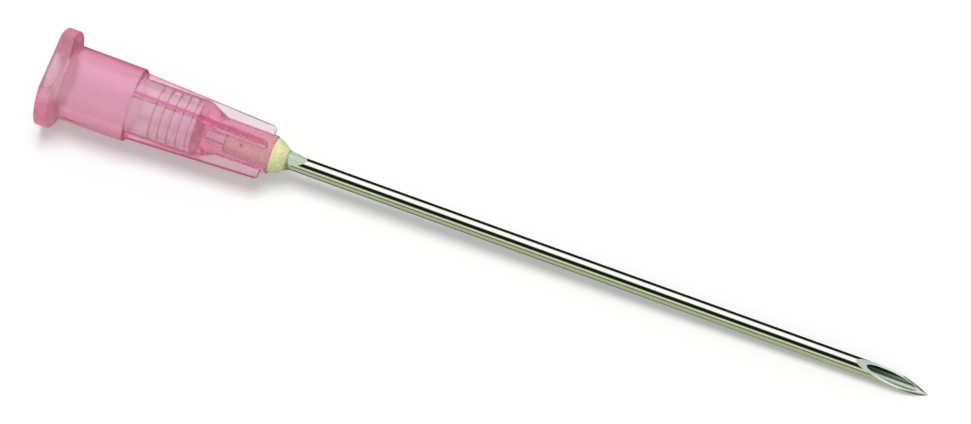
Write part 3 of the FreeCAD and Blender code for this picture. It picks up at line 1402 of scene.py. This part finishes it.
    def on_fin(self, column: Column, x: float, side: float, height: float) -> Vector:
        """Gives a point of a fin from its distance to the fin's middle and its height.

        Args:
            column: The column.
            x: Place along the needle.
            side: Distance from the fin's middle.
            height: Distance out from the axis.

        Returns:
            The point.
        """
        turn = column.quarter * math.pi / 2
        across = column.side * side
        return Vector((
            x,
            height * math.cos(turn) - across * math.sin(turn),
            height * math.sin(turn) + across * math.cos(turn),
        ))

    def round_ring(self, x: float, radius: float) -> Ring:
        """Gives a plain ring."""
        return [self.on_round(column, x, radius) for column in self.columns]

    def fin_top(self, x: float) -> float:
        """Gives the height of the fins' tops."""
        return self.fin_rear_top - self.fin_fall * (x - self.fin_rear)

    def edge_point(self, column: Column) -> tuple[float, float]:
        """Gives how far out and how far below the top a crest or edge column runs.

        Args:
            column: The column.

        Returns:
            The two distances in millimetres.
        """
        if column.role is Role.CREST:
            return 0.0, 0.0
        turn = column.share * math.pi / 2
        flat = self.fin_half - self.fin_edge_round
        side = flat + self.fin_edge_round * math.sin(turn)
        return side, self.fin_edge_round * (1 - math.cos(turn))

    def finned_ring(self, x: float, radius: float) -> Ring:
        """Gives a ring that climbs over the fins where they stand above the round skin.

        Args:
            x: Place along the needle.
            radius: The round skin's radius there.

        Returns:
            The ring.
        """
        ring = []
        for column in self.columns:
            point = self.on_round(column, x, radius)
            if column.role in (Role.CREST, Role.EDGE):
                side, drop = self.edge_point(column)
                height = self.fin_top(x) - drop
                if height > math.sqrt(radius ** 2 - side ** 2) + self.foot_round:
                    point = self.on_fin(column, x, side, height)
            elif column.role is Role.FOOT:
                point = self.foot_point(column, x, radius)
            ring.append(point)
        return ring

    def foot_point(self, column: Column, x: float, radius: float) -> Vector:
        """Gives a point of a fin's side just above the round skin, or on it under the barrel.

        Args:
            column: The column.
            x: Place along the needle.
            radius: The round skin's radius there.

        Returns:
            The point.
        """
        height = math.sqrt(radius ** 2 - self.fin_half ** 2) + self.foot_round
        if height > self.fin_top(x) - self.fin_edge_round:
            return self.on_round(column, x, radius)
        return self.on_fin(column, x, self.fin_half, height)

    def front_rings(self, radius: float) -> list[Ring]:
        """Gives the rings round the fins' front corners and down their front edges.

        Args:
            radius: The neck's radius there.

        Returns:
            The rings, from the corner's start to the fins' front feet.
        """
        slope = math.atan(self.fin_fall)
        middle_x = self.fin_front - self.fin_front_round
        middle_z = self.fin_top(middle_x) - self.fin_front_round / math.cos(slope)
        rings = []
        for share in spread(0.0, 1.0, self.corner_rings):
            lean = slope + (math.pi / 2 - slope) * share
            rings.append(self.front_ring(radius, middle_x, middle_z, lean, 0.0))
        for fall in spread(0.0, 1.0, self.front_edge_rings + 1)[1:]:
            rings.append(self.front_ring(radius, middle_x, middle_z, math.pi / 2, fall))
        return rings

    def front_ring(self, radius: float, x: float, z: float, lean: float, fall: float) -> Ring:
        """Gives one ring of the fins' front.

        Args:
            radius: The neck's radius.
            x: Middle of the front corner's arc along the needle.
            z: Middle of the arc above the axis.
            lean: Angle round the arc, from straight up to straight ahead.
            fall: Share of the way down the front edge, 0 on the arc.

        Returns:
            The ring.
        """
        ring = []
        ahead = x + self.fin_front_round * math.sin(lean)
        for column in self.columns:
            if column.role in (Role.CREST, Role.EDGE):
                side, drop = self.edge_point(column)
                bend = self.fin_front_round - drop
                height = z + bend * math.cos(lean)
                foot = math.sqrt(radius ** 2 - side ** 2) + self.foot_round
                place = x + bend * math.sin(lean)
                ring.append(self.on_fin(column, place, side, height + (foot - height) * fall))
            elif column.role is Role.FOOT:
                place = min(ahead, self.fin_front - self.fin_edge_round)
                ring.append(self.foot_point(column, place, radius))
            else:
                ring.append(self.on_round(column, ahead, radius))
        return ring

    def flange_rings(self) -> list[Ring]:
        """Gives the rings from the rear face over the flange's rim to the barrel.

        Returns:
            The rings, clipped by the two flats.
        """
        strands = []
        for column in self.columns:
            turn = self.angle(column, self.barrel_rear_radius)
            flat = self.flat_half / max(abs(math.sin(turn)), self.least_sine)
            rim = min(self.lug_radius, flat)
            share = (self.lug_radius - rim) / self.lug_height
            front = self.rim_thickness + (self.root_thickness - self.rim_thickness) * share
            end = self.root_thickness + self.flange_run
            outline = rounded_outline([
                Corner(0.0, self.socket_mouth / 2 + self.mouth_round),
                Corner(0.0, rim, self.rim_round),
                Corner(front, rim, self.rim_round),
                Corner(self.root_thickness, self.barrel_rear_radius, self.root_round, 2),
                Corner(end, self.barrel_radius(end)),
            ])
            strands.append(turned(outline, turn))
        return [list(ring) for ring in zip(*strands)]

    def outer_rings(self) -> list[Ring]:
        """Gives the rings from the barrel to the front face.

        Returns:
            The rings, which climb over the fins.
        """
        start = self.root_thickness + self.barrel_run
        fin_end = self.fin_front - self.fin_front_round
        behind = with_stations(rounded_outline([
            Corner(start, self.barrel_radius(start)),
            Corner(self.barrel_length, self.barrel_front_radius, self.barrel_round, 6),
            Corner(self.barrel_length, self.body_radius, self.inner_round, 3),
            Corner(self.shoulder_at, self.body_radius, self.shoulder_round, 12),
            Corner(self.neck_at, self.neck_rear_radius, self.inner_round, 3),
            Corner(fin_end, self.neck_radius(fin_end)),
        ]), self.outer_stations)
        ahead = rounded_outline([
            Corner(self.fin_front + self.root_round, self.fin_front_foot),
            Corner(self.front_face, self.neck_front_radius, self.face_round, 4),
            Corner(self.front_face, self.well_front_radius + self.well_chamfer),
        ])
        rings = [self.finned_ring(x, radius) for x, radius in behind]
        rings += self.front_rings(self.fin_front_foot)
        return rings + [self.round_ring(x, radius) for x, radius in ahead]

    def barrel_radius(self, x: float) -> float:
        """Gives the barrel's radius."""
        return self.barrel_rear_radius - self.barrel_draft * x

    def neck_radius(self, x: float) -> float:
        """Gives the neck's radius."""
        return self.neck_front_radius + self.neck_draft * (self.front_face - x)

    def inner_rings(self) -> list[Ring]:
        """Gives the rings from the glue well back through seat, throat and socket to the mouth.

        Returns:
            The rings, which are all round.
        """
        seat = self.tube_radius + CLOSE
        corners = [
            Corner(self.front_face, self.well_front_radius + self.well_chamfer),
            Corner(self.front_face - self.well_chamfer, self.well_front_radius),
            Corner(self.well_rear, self.well_rear_radius),
            Corner(self.well_rear, seat),
            Corner(self.tube_seat - CLOSE, seat),
            Corner(self.tube_seat - CLOSE, self.bore_radius),
            Corner(self.tube_seat - self.throat_length, self.bore_radius, self.throat_round, 3),
            Corner(self.socket_depth, self.socket_radius(self.socket_depth), self.floor_round, 6),
        ]
        half, foot = self.ring_width / 2, self.ring_height / 2
        for middle in self.ring_middles:
            corners += [
                Corner(middle + half, self.socket_radius(middle + half), foot, 2),
                Corner(middle, self.socket_radius(middle) - self.ring_height, self.ring_height, 4),
                Corner(middle - half, self.socket_radius(middle - half), foot, 2),
            ]
        corners += [Corner(x, self.socket_radius(x)) for x in self.socket_stations]
        corners += [
            Corner(0.0, self.socket_mouth / 2, self.mouth_round, 5),
            Corner(0.0, self.socket_mouth / 2 + 2 * self.mouth_round),
        ]
        return [self.round_ring(x, radius) for x, radius in rounded_outline(corners)[1:-2]]

    def build(self) -> bpy.types.Object:
        """Builds and dresses the hub, which stands for the frame's hub.

        Returns:
            The piece.
        """
        rings = self.flange_rings() + self.outer_rings() + self.inner_rings()
        piece = finished(skin(rings), "hub_moulding", self.lie, HubPlastic(hub=self).make())
        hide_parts("hub")
        return piece


# The steel tube


class GeometrySheet(Sheet):
    """A Geometry Nodes tree while it is being written."""

    def __init__(self, name: str, inputs: dict[str, tuple[str, object]]) -> None:
        """Makes a tree with named inputs and one geometry output.

        Args:
            name: Name of the tree.
            inputs: Socket type and value of each input, by name.
        """
        super().__init__(bpy.data.node_groups.new(name, "GeometryNodeTree"))
        self.values = inputs
        face = self.tree.interface
        face.new_socket("Geometry", in_out="OUTPUT", socket_type="NodeSocketGeometry")
        for label, (kind, _) in inputs.items():
            face.new_socket(label, in_out="INPUT", socket_type=kind)
        self.entry = self.tree.nodes.new("NodeGroupInput")

    def given(self, label: str) -> Flow:
        """Gives the value of a named input."""
        return Flow(self, self.entry.outputs[label])

    def grow(self, name: str, geometry: Flow) -> bpy.types.Object:
        """Joins the tree's output and runs the tree on an empty mesh.

        Args:
            name: Name of the piece.
            geometry: What the tree gives.

        Returns:
            The linked piece, as a plain mesh.
        """
        self.close("NodeGroupOutput", Geometry=geometry)
        piece = linked(name, bpy.data.meshes.new(name))
        modifier = piece.modifiers.new("grow", "NODES")
        modifier.node_group = self.tree
        for item in self.tree.interface.items_tree:
            if item.in_out == "INPUT":
                modifier[item.identifier] = self.values[item.name][1]
        make_plain(piece)
        return piece


@dataclass
class Cannula:
    """The drawn steel tube and its lancet point, ground on a wheel.

    All sizes are in millimetres, and angles in degrees.

    Attributes:
        hub: The hub that holds the tube.
        free_from: Where the tube leaves the bead.
        needle_reach: Length from there to the point.
        bevel_length: Length of the main grind, from heel to point.
        heel_length: Length of the main grind's duller heel.
        lancet_length: Length of the two side grinds.
        lancet_turn: How far the tube is turned each way for a side grind.
        bevel_roll: How far the bevel faces away from straight up.
        segments: Faces round the tube.
    """

    hub: Hub
    free_from: float
    needle_reach: float = 51.00
    bevel_length: float = 5.90
    heel_length: float = 1.20
    lancet_length: float = 2.25
    lancet_turn: float = 32.0
    bevel_roll: float = 10.0
    segments: int = 96

    def __post_init__(self) -> None:
        """Works out where the point is."""
        self.point_at = self.free_from + self.needle_reach

    def draw_tube(self) -> bpy.types.Object:
        """Draws the tube: its wall's section is swept once round the axis.

        Returns:
            The tube along +X, in millimetres.
        """
        hub = self.hub
        steel = DrawnSteel(lie=hub.lie, bore_radius=hub.bore_radius).make()
        sheet = GeometrySheet("drawn_tube", {
            "Diameter": ("NodeSocketFloat", 2 * hub.tube_radius),
            "Bore": ("NodeSocketFloat", 2 * hub.bore_radius),
            "Length": ("NodeSocketFloat", self.point_at - hub.tube_seat),
            "Seat": ("NodeSocketFloat", hub.tube_seat),
            "Segments": ("NodeSocketInt", self.segments),
            "Steel": ("NodeSocketMaterial", steel),
        })
        diameter, bore, length = (sheet.given(label) for label in ("Diameter", "Bore", "Length"))
        hoop = sheet.node("GeometryNodeCurvePrimitiveCircle", {"mode": "RADIUS"}, {
            "Resolution": sheet.given("Segments"),
            "Radius": (diameter + bore) * 0.25,
        })
        section = sheet.node("GeometryNodeCurvePrimitiveQuadrilateral", {"mode": "RECTANGLE"}, {
            "Width": (diameter - bore) * 0.5,
            "Height": length,
        })
        swept = sheet.node("GeometryNodeCurveToMesh", {}, {"Curve": hoop, "Profile Curve": section})
        middle = length * 0.5 + sheet.given("Seat")
        laid = sheet.node("GeometryNodeTransform", {}, {
            "Geometry": swept,
            "Translation": sheet.node("ShaderNodeCombineXYZ", {}, {"X": middle}),
            "Rotation": (0.0, math.pi / 2, 0.0),
        })
        real = sheet.node("GeometryNodeRealizeInstances", {}, {"Geometry": laid})
        values = {"Geometry": real, "Material": sheet.given("Steel")}
        return sheet.grow("drawn_tube", sheet.node("GeometryNodeSetMaterial", {}, values))

    def grinds(self) -> list[tuple[Vector, Vector]]:
        """Gives a point and the direction of each ground flat.

        Returns:
            The main grind, then the two side grinds.
        """
        radius = self.hub.tube_radius
        roll = math.radians(self.bevel_roll)
        up = Vector((0.0, math.sin(roll), math.cos(roll)))
        point = Vector((self.point_at, 0.0, 0.0)) - up * radius
        slope = math.atan2(2 * radius, self.bevel_length)
        meeting = math.acos(1 - 2 * self.lancet_length / self.bevel_length)
        turn = math.radians(self.lancet_turn)
        rise = radius * (math.cos(turn) - math.cos(meeting + turn))
        side_slope = math.atan2(rise, self.lancet_length)
        flats = []
        for sign, lean in ((0, slope), (1, side_slope), (-1, side_slope)):
            facing = Matrix.Rotation(sign * turn, 3, "X") @ up
            flats.append((point, Vector((math.sin(lean), 0, 0)) + facing * math.cos(lean)))
        return flats

    def build(self) -> bpy.types.Object:
        """Builds and dresses the tube, which stands for the frame's cannula.

        Returns:
            The piece.
        """
        blank = self.draw_tube()
        bm = bmesh.new()
        bm.from_mesh(blank.data)
        bmesh.ops.remove_doubles(bm, verts=bm.verts, dist=MERGE)
        for point, facing in self.grinds():
            everything = bm.verts[:] + bm.edges[:] + bm.faces[:]
            cut = bmesh.ops.bisect_plane(
                bm, geom=everything, dist=MERGE / 10, plane_co=point, plane_no=facing, clear_outer=True
            )
            edges = [part for part in cut["geom_cut"] if isinstance(part, bmesh.types.BMEdge)]
            flat = bmesh.ops.triangle_fill(bm, edges=edges, use_beauty=True, use_dissolve=False)
            for face in flat["geom"]:
                if isinstance(face, bmesh.types.BMFace):
                    face.material_index = 1
        drawn = blank.data.materials[0]
        bpy.data.objects.remove(blank)
        bright_at = self.point_at - self.bevel_length + self.heel_length
        ground = GroundSteel(lie=self.hub.lie, bright_at=bright_at).make()
        piece = finished(bm, "ground_tube", self.hub.lie, drawn, ground)
        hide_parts("cannula")
        return piece


# The adhesive


@dataclass
class Adhesive:
    """The cured adhesive: filling of the well, bead on the front face, tongue along the tube.

    All sizes are in millimetres, angles in degrees, and x runs from the socket's mouth.

    Attributes:
        hub: The hub whose glue well it fills.
        bead_radius: Radius of the bead at the front face.
        bead_length: Length of the bead along the tube.
        waist_reach: Reach from the front face at which the bead turns concave.
        waist_height: Height of the bead there, above the tube.
        bulge: Rise of the convex part above its chord.
        hollow: Sink of the concave part below its chord.
        tongue_reach: Reach of the tongue from the front face.
        tongue_film: Thickness of the tongue.
        tongue_setback: Reach at which the tongue is widest.
        tongue_roll: How far the tongue lies from straight up, towards the far side.
        sag: Height of the fillet between bead and tongue.
        wave_height: Height of the bead's waves.
        wave_rate: How fast they change along the tube, and round it.
        column_count: Columns round the tube.
        well_run: Distance from the well's rear end to the next ring.
        well_rings: Rings along the well.
        bead_rings: Rings along the bead.
        tongue_step: Length of the steps by which the tongue's end is found.
        edge: Distance between the two rings that turn round the bead's foot.
        skin_height: Least thickness of the film's end.
        end_step: Distance from the film's end to the tube's skin.
    """

    hub: Hub
    bead_radius: float = 1.40
    bead_length: float = 1.55
    waist_reach: float = 0.92
    waist_height: float = 0.345
    bulge: float = 0.075
    hollow: float = 0.045
    tongue_reach: float = 2.68
    tongue_film: float = 0.17
    tongue_setback: float = 0.85
    tongue_roll: float = 25.0
    sag: float = 0.012
    wave_height: float = 0.012
    wave_rate: Point = (1.3, 1.5)
    column_count: int = 120
    well_run: float = 0.5
    well_rings: int = 6
    bead_rings: int = 36
    tongue_step: float = 0.005
    edge: float = 0.02
    skin_height: float = 0.0005
    end_step: float = 0.002

    def bead_height(self, reach: float) -> float:
        """Gives the bead's radius at a reach from the front face.

        Args:
            reach: Distance from the front face.

        Returns:
            The radius, or the tube's past the bead's end.
        """
        tube = self.hub.tube_radius
        waist = tube + self.waist_height
        if reach <= self.waist_reach:
            share = reach / self.waist_reach
            return self.bead_radius + (waist - self.bead_radius) * share + self.bulge * hump(share)
        if reach >= self.bead_length:
            return tube
        share = (reach - self.waist_reach) / (self.bead_length - self.waist_reach)
        return waist + (tube - waist) * share - self.hollow * hump(share)

    def tongue_height(self, reach: float, turn: float) -> float:
        """Gives the tongue's radius.

        Args:
            reach: Distance from the front face.
            turn: Angle from the tongue's middle, in radians.

        Returns:
            The radius, less than the tube's where there is no tongue.
        """
        tube = self.hub.tube_radius
        narrowing = math.sqrt(1 - ((tube - self.tongue_film) / tube) ** 2)
        egg = (self.tongue_reach - self.tongue_setback) / narrowing
        place = (reach - self.tongue_setback) / egg
        if abs(place) >= 1:
            return 0.0
        egg_radius = tube * math.sqrt(1 - place ** 2)
        beside = egg_radius ** 2 - (self.tongue_film * math.sin(turn)) ** 2
        if beside <= 0:
            return 0.0
        return self.tongue_film * math.cos(turn) + math.sqrt(beside)

    def height(self, reach: float, turn: float) -> float:
        """Gives the adhesive's radius outside the hub, where bead and tongue run together.

        Args:
            reach: Distance from the front face.
            turn: Angle from the tongue's middle, in radians.

        Returns:
            The radius.
        """
        bead = self.bead_height(reach)
        tongue = self.tongue_height(reach, turn)
        gap = max(0.0, 1 - abs(bead - tongue) / self.sag)
        return max(bead, tongue) + self.sag * gap * gap / 4

    def reach_at(self, turn: float) -> float:
        """Gives how far along the tube the adhesive runs at a turn from the tongue's middle.

        Args:
            turn: Angle from the tongue's middle, in radians.

        Returns:
            The distance from the front face.
        """
        reach = self.bead_length
        while self.tongue_height(reach + self.tongue_step, turn) > self.hub.tube_radius:
            reach += self.tongue_step
        return reach

    def wave(self, reach: float, angle: float, share: float) -> float:
        """Gives the small unevenness of a bead that set as it flowed.

        Args:
            reach: Distance from the front face.
            angle: Angle from +Y, in radians.
            share: Share of the way from the front face to the adhesive's end.

        Returns:
            The height above or below the smooth bead.
        """
        onward, around = self.wave_rate
        place = Vector((reach * onward, math.cos(angle) * around, math.sin(angle) * around))
        return self.wave_height * noise.noise(place) * hump(share)

    def outline(self, angle: float) -> list[Point]:
        """Gives the section at an angle round the tube.

        Args:
            angle: Angle from +Y, in radians.

        Returns:
            Points (x, radius) from the well's rear end over the bead to the film's end.
        """
        hub = self.hub
        inner = hub.tube_radius + CLOSE
        turn = angle - (math.pi / 2 - math.radians(self.tongue_roll))
        reach = self.reach_at(turn)
        points = [
            (hub.well_rear + CLOSE, inner),
            (hub.well_rear + CLOSE, hub.well_rear_radius - CLOSE),
        ]
        well_front = hub.front_face - hub.well_chamfer
        for x in spread(hub.well_rear + self.well_run, well_front, self.well_rings):
            share = (x - hub.well_rear) / hub.well_depth
            widening = (hub.well_front_radius - hub.well_rear_radius) * share
            points.append((x, hub.well_rear_radius + widening - CLOSE))
        mouth = hub.well_front_radius + hub.well_chamfer
        points += [
            (hub.front_face + CLOSE, mouth - 2 * CLOSE),
            (hub.front_face + CLOSE, self.bead_radius - self.edge),
        ]
        for step in spread(0.0, 1.0, self.bead_rings):
            share = 0.5 - 0.5 * math.cos(math.pi * step)
            out = max(share * reach, CLOSE)
            radius = self.height(out, turn) + self.wave(out, angle, share)
            points.append((hub.front_face + out, max(radius, inner + self.skin_height)))
        return points + [(hub.front_face + reach + self.end_step, inner)]

    def build(self) -> bpy.types.Object:
        """Builds and dresses the adhesive, which stands for the frame's adhesive.

        Returns:
            The piece.
        """
        angles = [index * 2 * math.pi / self.column_count for index in range(self.column_count)]
        strands = [turned(self.outline(angle), angle) for angle in angles]
        bm = skin([list(ring) for ring in zip(*strands)])
        piece = finished(bm, "cured_bead", self.hub.lie, CuredAdhesive(hub=self.hub).make())
        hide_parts("adhesive")
        return piece


# Floor, light and camera


@dataclass(frozen=True)
class SoftBox:
    """A bright band of the mirrored room, given by angles over the needle from the far side.

    Attributes:
        rise: Angles in degrees between which it starts.
        fall: Angles between which it ends, or nothing where it runs on to the floor.
        level: Its brightness.
    """

    rise: Point
    fall: Optional[Point]
    level: float

    def seen(self, turn: Flow) -> Flow:
        """Gives 1 in the band."""
        start = turn.between(*self.rise)
        return start * (1 - turn.between(*self.fall)) if self.fall else start


@dataclass(frozen=True)
class Studio:
    """Pale floor, soft light from the far side and the camera.

    Attributes:
        lie: How the needle lies.
        azimuth: Degrees from which the camera looks, as seen from above.
        elevation: Degrees above the floor.
        distance: Millimetres from the camera to its aim.
        lens: Focal length in millimetres.
        sensor: Width of the camera's sensor in millimetres.
        clip: Nearest and furthest metres that the camera sees.
        aim_x: Aim along the needle, in millimetres from the socket's mouth.
        aside: Millimetres by which the camera is moved sideways and up from the aim.
        floor_radius: Metres from the floor's middle to its edge.
        floor_sides: Sides of the floor.
        floor_colour: Colour of the floor.
        floor_glow: What the floor adds for the camera, so that it is white where it is lit.
        floor_through: Brightness of the floor by the needle, seen through clear plastic.
        rim_level: Brightness of floor and room far from it, seen the same way.
        floor_kept: Share of the lit floor, with its shadows, that plastic shows.
        half_reach: Metres from the floor's middle to the needle's ends.
        rim_reach: Metres from the needle between which the floor changes to rim_level.
        rim_rise: Heights in the room over which it changes from rim_level to white.
        axis_height: Height of the needle's axis over the floor's middle, in metres.
        mirrored_from: Distances in front of the axis, in its heights, between which the floor
            in the steel turns from dark to warm.
        floor_dark: Colour of the floor that steel mirrors under itself.
        floor_warm: Colour of the floor that it mirrors in front.
        sky_level: Brightness of the room as plain light.
        far_box: The wide white box that steel mirrors on the far side.
        front_box: The warm box above the camera's side.
        low_box: The dim warm box near the floor in front.
        warm: Colour of the two.
        ceiling: Brightness of the room between the boxes.
        end_level: Brightness of the room towards the needle's ends.
        end_from: Shares of a direction along the needle between which the ends start.
        lamp_energy: Watts of the lamp.
        lamp_size: Metres across the lamp.
        lamp_distance: Metres from the lamp to the needle.
        lamp_toward: Direction from the needle to the lamp.
    """

    lie: Lie
    azimuth: float = 20.32
    elevation: float = 69.0
    distance: float = 320.0
    lens: float = 157.2
    sensor: float = 36.0
    clip: Point = (0.01, 20.0)
    aim_x: float = 35.0
    aside: Point = (0.2, 1.395)
    floor_radius: float = 1.2
    floor_sides: int = 96
    floor_colour: float = 0.80
    floor_glow: float = 0.20
    floor_through: float = 1.0
    rim_level: float = 0.85
    floor_kept: float = 0.30
    half_reach: float = 0.036
    rim_reach: Point = (0.006, 0.022)
    rim_rise: Point = (0.10, 0.40)
    axis_height: float = 0.00187
    mirrored_from: Point = (0.55, 1.30)
    floor_dark: Colour = (0.015, 0.015, 0.012)
    floor_warm: Colour = (0.52, 0.58, 0.35)
    sky_level: float = 0.45
    far_box: SoftBox = SoftBox((16.0, 34.0), (76.0, 92.0), 1.40)
    front_box: SoftBox = SoftBox((129.0, 141.0), (156.0, 168.0), 0.90)
    low_box: SoftBox = SoftBox((166.0, 178.0), None, 0.36)
    warm: Colour = (0.93, 1.0, 0.69)
    ceiling: float = 0.01
    end_level: float = 0.35
    end_from: Point = (0.70, 0.92)
    lamp_energy: float = 1.02
    lamp_size: float = 0.20
    lamp_distance: float = 0.40
    lamp_toward: tuple[float, float, float] = (-0.12, 0.16, 0.98)

    def directions(self) -> tuple[Vector, Vector, Vector]:
        """Gives the camera's right, up and back directions.

        Returns:
            The three, each of length 1.
        """
        turn = math.radians(self.azimuth)
        rise = math.radians(self.elevation)
        back = Vector((
            math.sin(turn) * math.cos(rise), -math.cos(turn) * math.cos(rise), math.sin(rise)
        ))
        right = Vector((math.cos(turn), math.sin(turn), 0.0))
        return right, back.cross(right), back

    def add_camera(self) -> None:
        """Adds the camera at the photograph's angle."""
        right, up, back = self.directions()
        data = bpy.data.cameras.new("camera")
        data.lens = self.lens
        data.sensor_width = self.sensor
        data.clip_start, data.clip_end = self.clip
        camera = linked("camera", data)
        offset = back * self.distance + right * self.aside[0] + up * self.aside[1]
        place = self.lie.place(self.aim_x) + offset * MM
        turn = Matrix((right, up, back)).transposed().to_4x4()
        camera.matrix_world = Matrix.Translation(place) @ turn
        bpy.context.scene.camera = camera

    def add_floor(self) -> None:
        """Adds the floor under the needle's lowest point."""
        bm = bmesh.new()
        bmesh.ops.create_circle(
            bm, cap_ends=True, segments=self.floor_sides, radius=self.floor_radius
        )
        mesh = bpy.data.meshes.new("floor")
        bm.to_mesh(mesh)
        bm.free()
        floor = linked("floor", mesh)
        floor.location = (self.aim_x * MM, 0.0, CAD_BOX[0][2])
        mesh.materials.append(self.floor_finish())

    def floor_finish(self) -> bpy.types.Material:
        """Makes the white floor, plain through clear plastic and dim in mirroring steel.

        Returns:
            The material; steel mirrors it warm on the near side and dark on the far side.
        """
        material, sheet = new_sheet("floor_white")
        material.cycles.emission_sampling = "NONE"
        colour = with_alpha((self.floor_colour,) * 3)
        lit = sheet.node("ShaderNodeBsdfDiffuse", {}, {"Color": colour})
        glow = sheet.light("Emission", WHITE, self.floor_glow * sheet.ray("Camera"))
        seen = sheet.node("ShaderNodeAddShader", {}, {0: lit, 1: glow})
        along, ahead, _ = sheet.parts(sheet.node("ShaderNodeTexCoord", {}, {}, "Object"))
        height = self.axis_height - math.sin(self.lie.dip) * along
        near = sheet.math("DIVIDE", -1 * ahead, height).between(*self.mirrored_from)
        mirrored = sheet.light("Emission", sheet.mix(near, self.floor_dark, self.floor_warm), 1.0)
        beyond = sheet.math("MAXIMUM", sheet.math("ABSOLUTE", along) - self.half_reach, 0.0)
        away = sheet.math("SQRT", ahead * ahead + beyond * beyond).between(*self.rim_reach)
        level = self.floor_through + (self.rim_level - self.floor_through) * away
        through = sheet.light("Emission", sheet.mix(level, BLACK, WHITE), 1.0)
        through = sheet.blend(self.floor_kept, through, lit)
        surface = sheet.blend(sheet.ray("Glossy"), seen, mirrored)
        surface = sheet.blend(sheet.ray("Transmission"), surface, through)
        sheet.close("ShaderNodeOutputMaterial", Surface=surface)
        return material

    def add_sky(self) -> None:
        """Adds the room: white to look at, plain as light, with its soft boxes for mirroring steel."""
        world = bpy.data.worlds.new("room")
        bpy.context.scene.world = world
        world.use_nodes = True
        sheet = Sheet(world.node_tree)
        side, ahead, up = sheet.parts(sheet.node("ShaderNodeTexCoord", {}, {}, "Generated"))
        plain = sheet.light("Background", WHITE, self.sky_level)
        mirrored = self.mirrored_room(sheet, side, ahead, up)
        level = self.rim_level + (1 - self.rim_level) * up.between(*self.rim_rise)
        through = sheet.light("Background", WHITE, level)
        surface = sheet.blend(sheet.ray("Glossy"), plain, mirrored)
        surface = sheet.blend(sheet.ray("Transmission"), surface, through)
        surface = sheet.blend(sheet.ray("Camera"), surface, sheet.light("Background", WHITE, 1.0))
        sheet.close("ShaderNodeOutputWorld", Surface=surface)

    def mirrored_room(self, sheet: Sheet, side: Flow, ahead: Flow, up: Flow) -> Flow:
        """Lays out the room that steel mirrors, by the angle over the needle.

        Args:
            sheet: The room's tree.
            side: How far a direction points along the needle.
            ahead: How far it points to the far side.
            up: How far it points up.

        Returns:
            A wide white box on the far side, a dark ceiling, a warm box on the camera's side
            and a dimmer one near the floor in front.
        """
        turn = sheet.math("ARCTAN2", up, ahead) * math.degrees(1)
        far = self.far_box.seen(turn)
        level = self.ceiling + self.far_box.level * far
        for box in (self.front_box, self.low_box):
            level = level + box.level * box.seen(turn)
        width = 1 - sheet.math("ABSOLUTE", side).between(*self.end_from)
        level = level * width + (1 - width) * self.end_level
        return sheet.light("Background", sheet.mix(far, self.warm, WHITE), level)

    def add_lamp(self) -> None:
        """Adds the large soft lamp overhead, which metal and plastic don't mirror."""
        data = bpy.data.lights.new("soft_lamp", "AREA")
        data.shape = "DISK"
        data.size = self.lamp_size
        data.energy = self.lamp_energy
        lamp = linked("soft_lamp", data)
        toward = Vector(self.lamp_toward).normalized()
        lamp.location = self.lie.place(self.aim_x) + toward * self.lamp_distance
        lamp.rotation_euler = toward.to_track_quat("Z", "Y").to_euler()
        lamp.visible_glossy = False
        lamp.visible_transmission = False

    def build(self) -> None:
        """Sets the stage."""
        self.add_camera()
        self.add_floor()
        self.add_sky()
        self.add_lamp()
        bpy.context.scene.view_settings.view_transform = "Standard"


# Putting it together


def hand_over(piece: bpy.types.Object, slot: str) -> None:
    """Ties a finished piece to the frame and reports it.

    Args:
        piece: The piece.
        slot: The record's material slot.
    """
    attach(piece, BODY)
    faces = len(piece.data.polygons)
    log.info("%s: %d faces, %d open edges, slot %s", piece.name, faces, count_open(piece), slot)


def main() -> None:
    """Builds the needle, dresses it and sets it on its stage."""
    logging.basicConfig(level=logging.INFO, format="%(name)s: %(message)s")
    lie = Lie.from_record(frame["record"])
    hub = Hub(lie)
    adhesive = Adhesive(hub)
    cannula = Cannula(hub, hub.front_face + adhesive.bead_length)
    hand_over(hub.build(), "hub_plastic")
    hand_over(cannula.build(), "tube_steel")
    hand_over(adhesive.build(), "bond_adhesive")
    Studio(lie).build()
    bpy.context.view_layer.update()


if __name__ == "__main__":
    main()
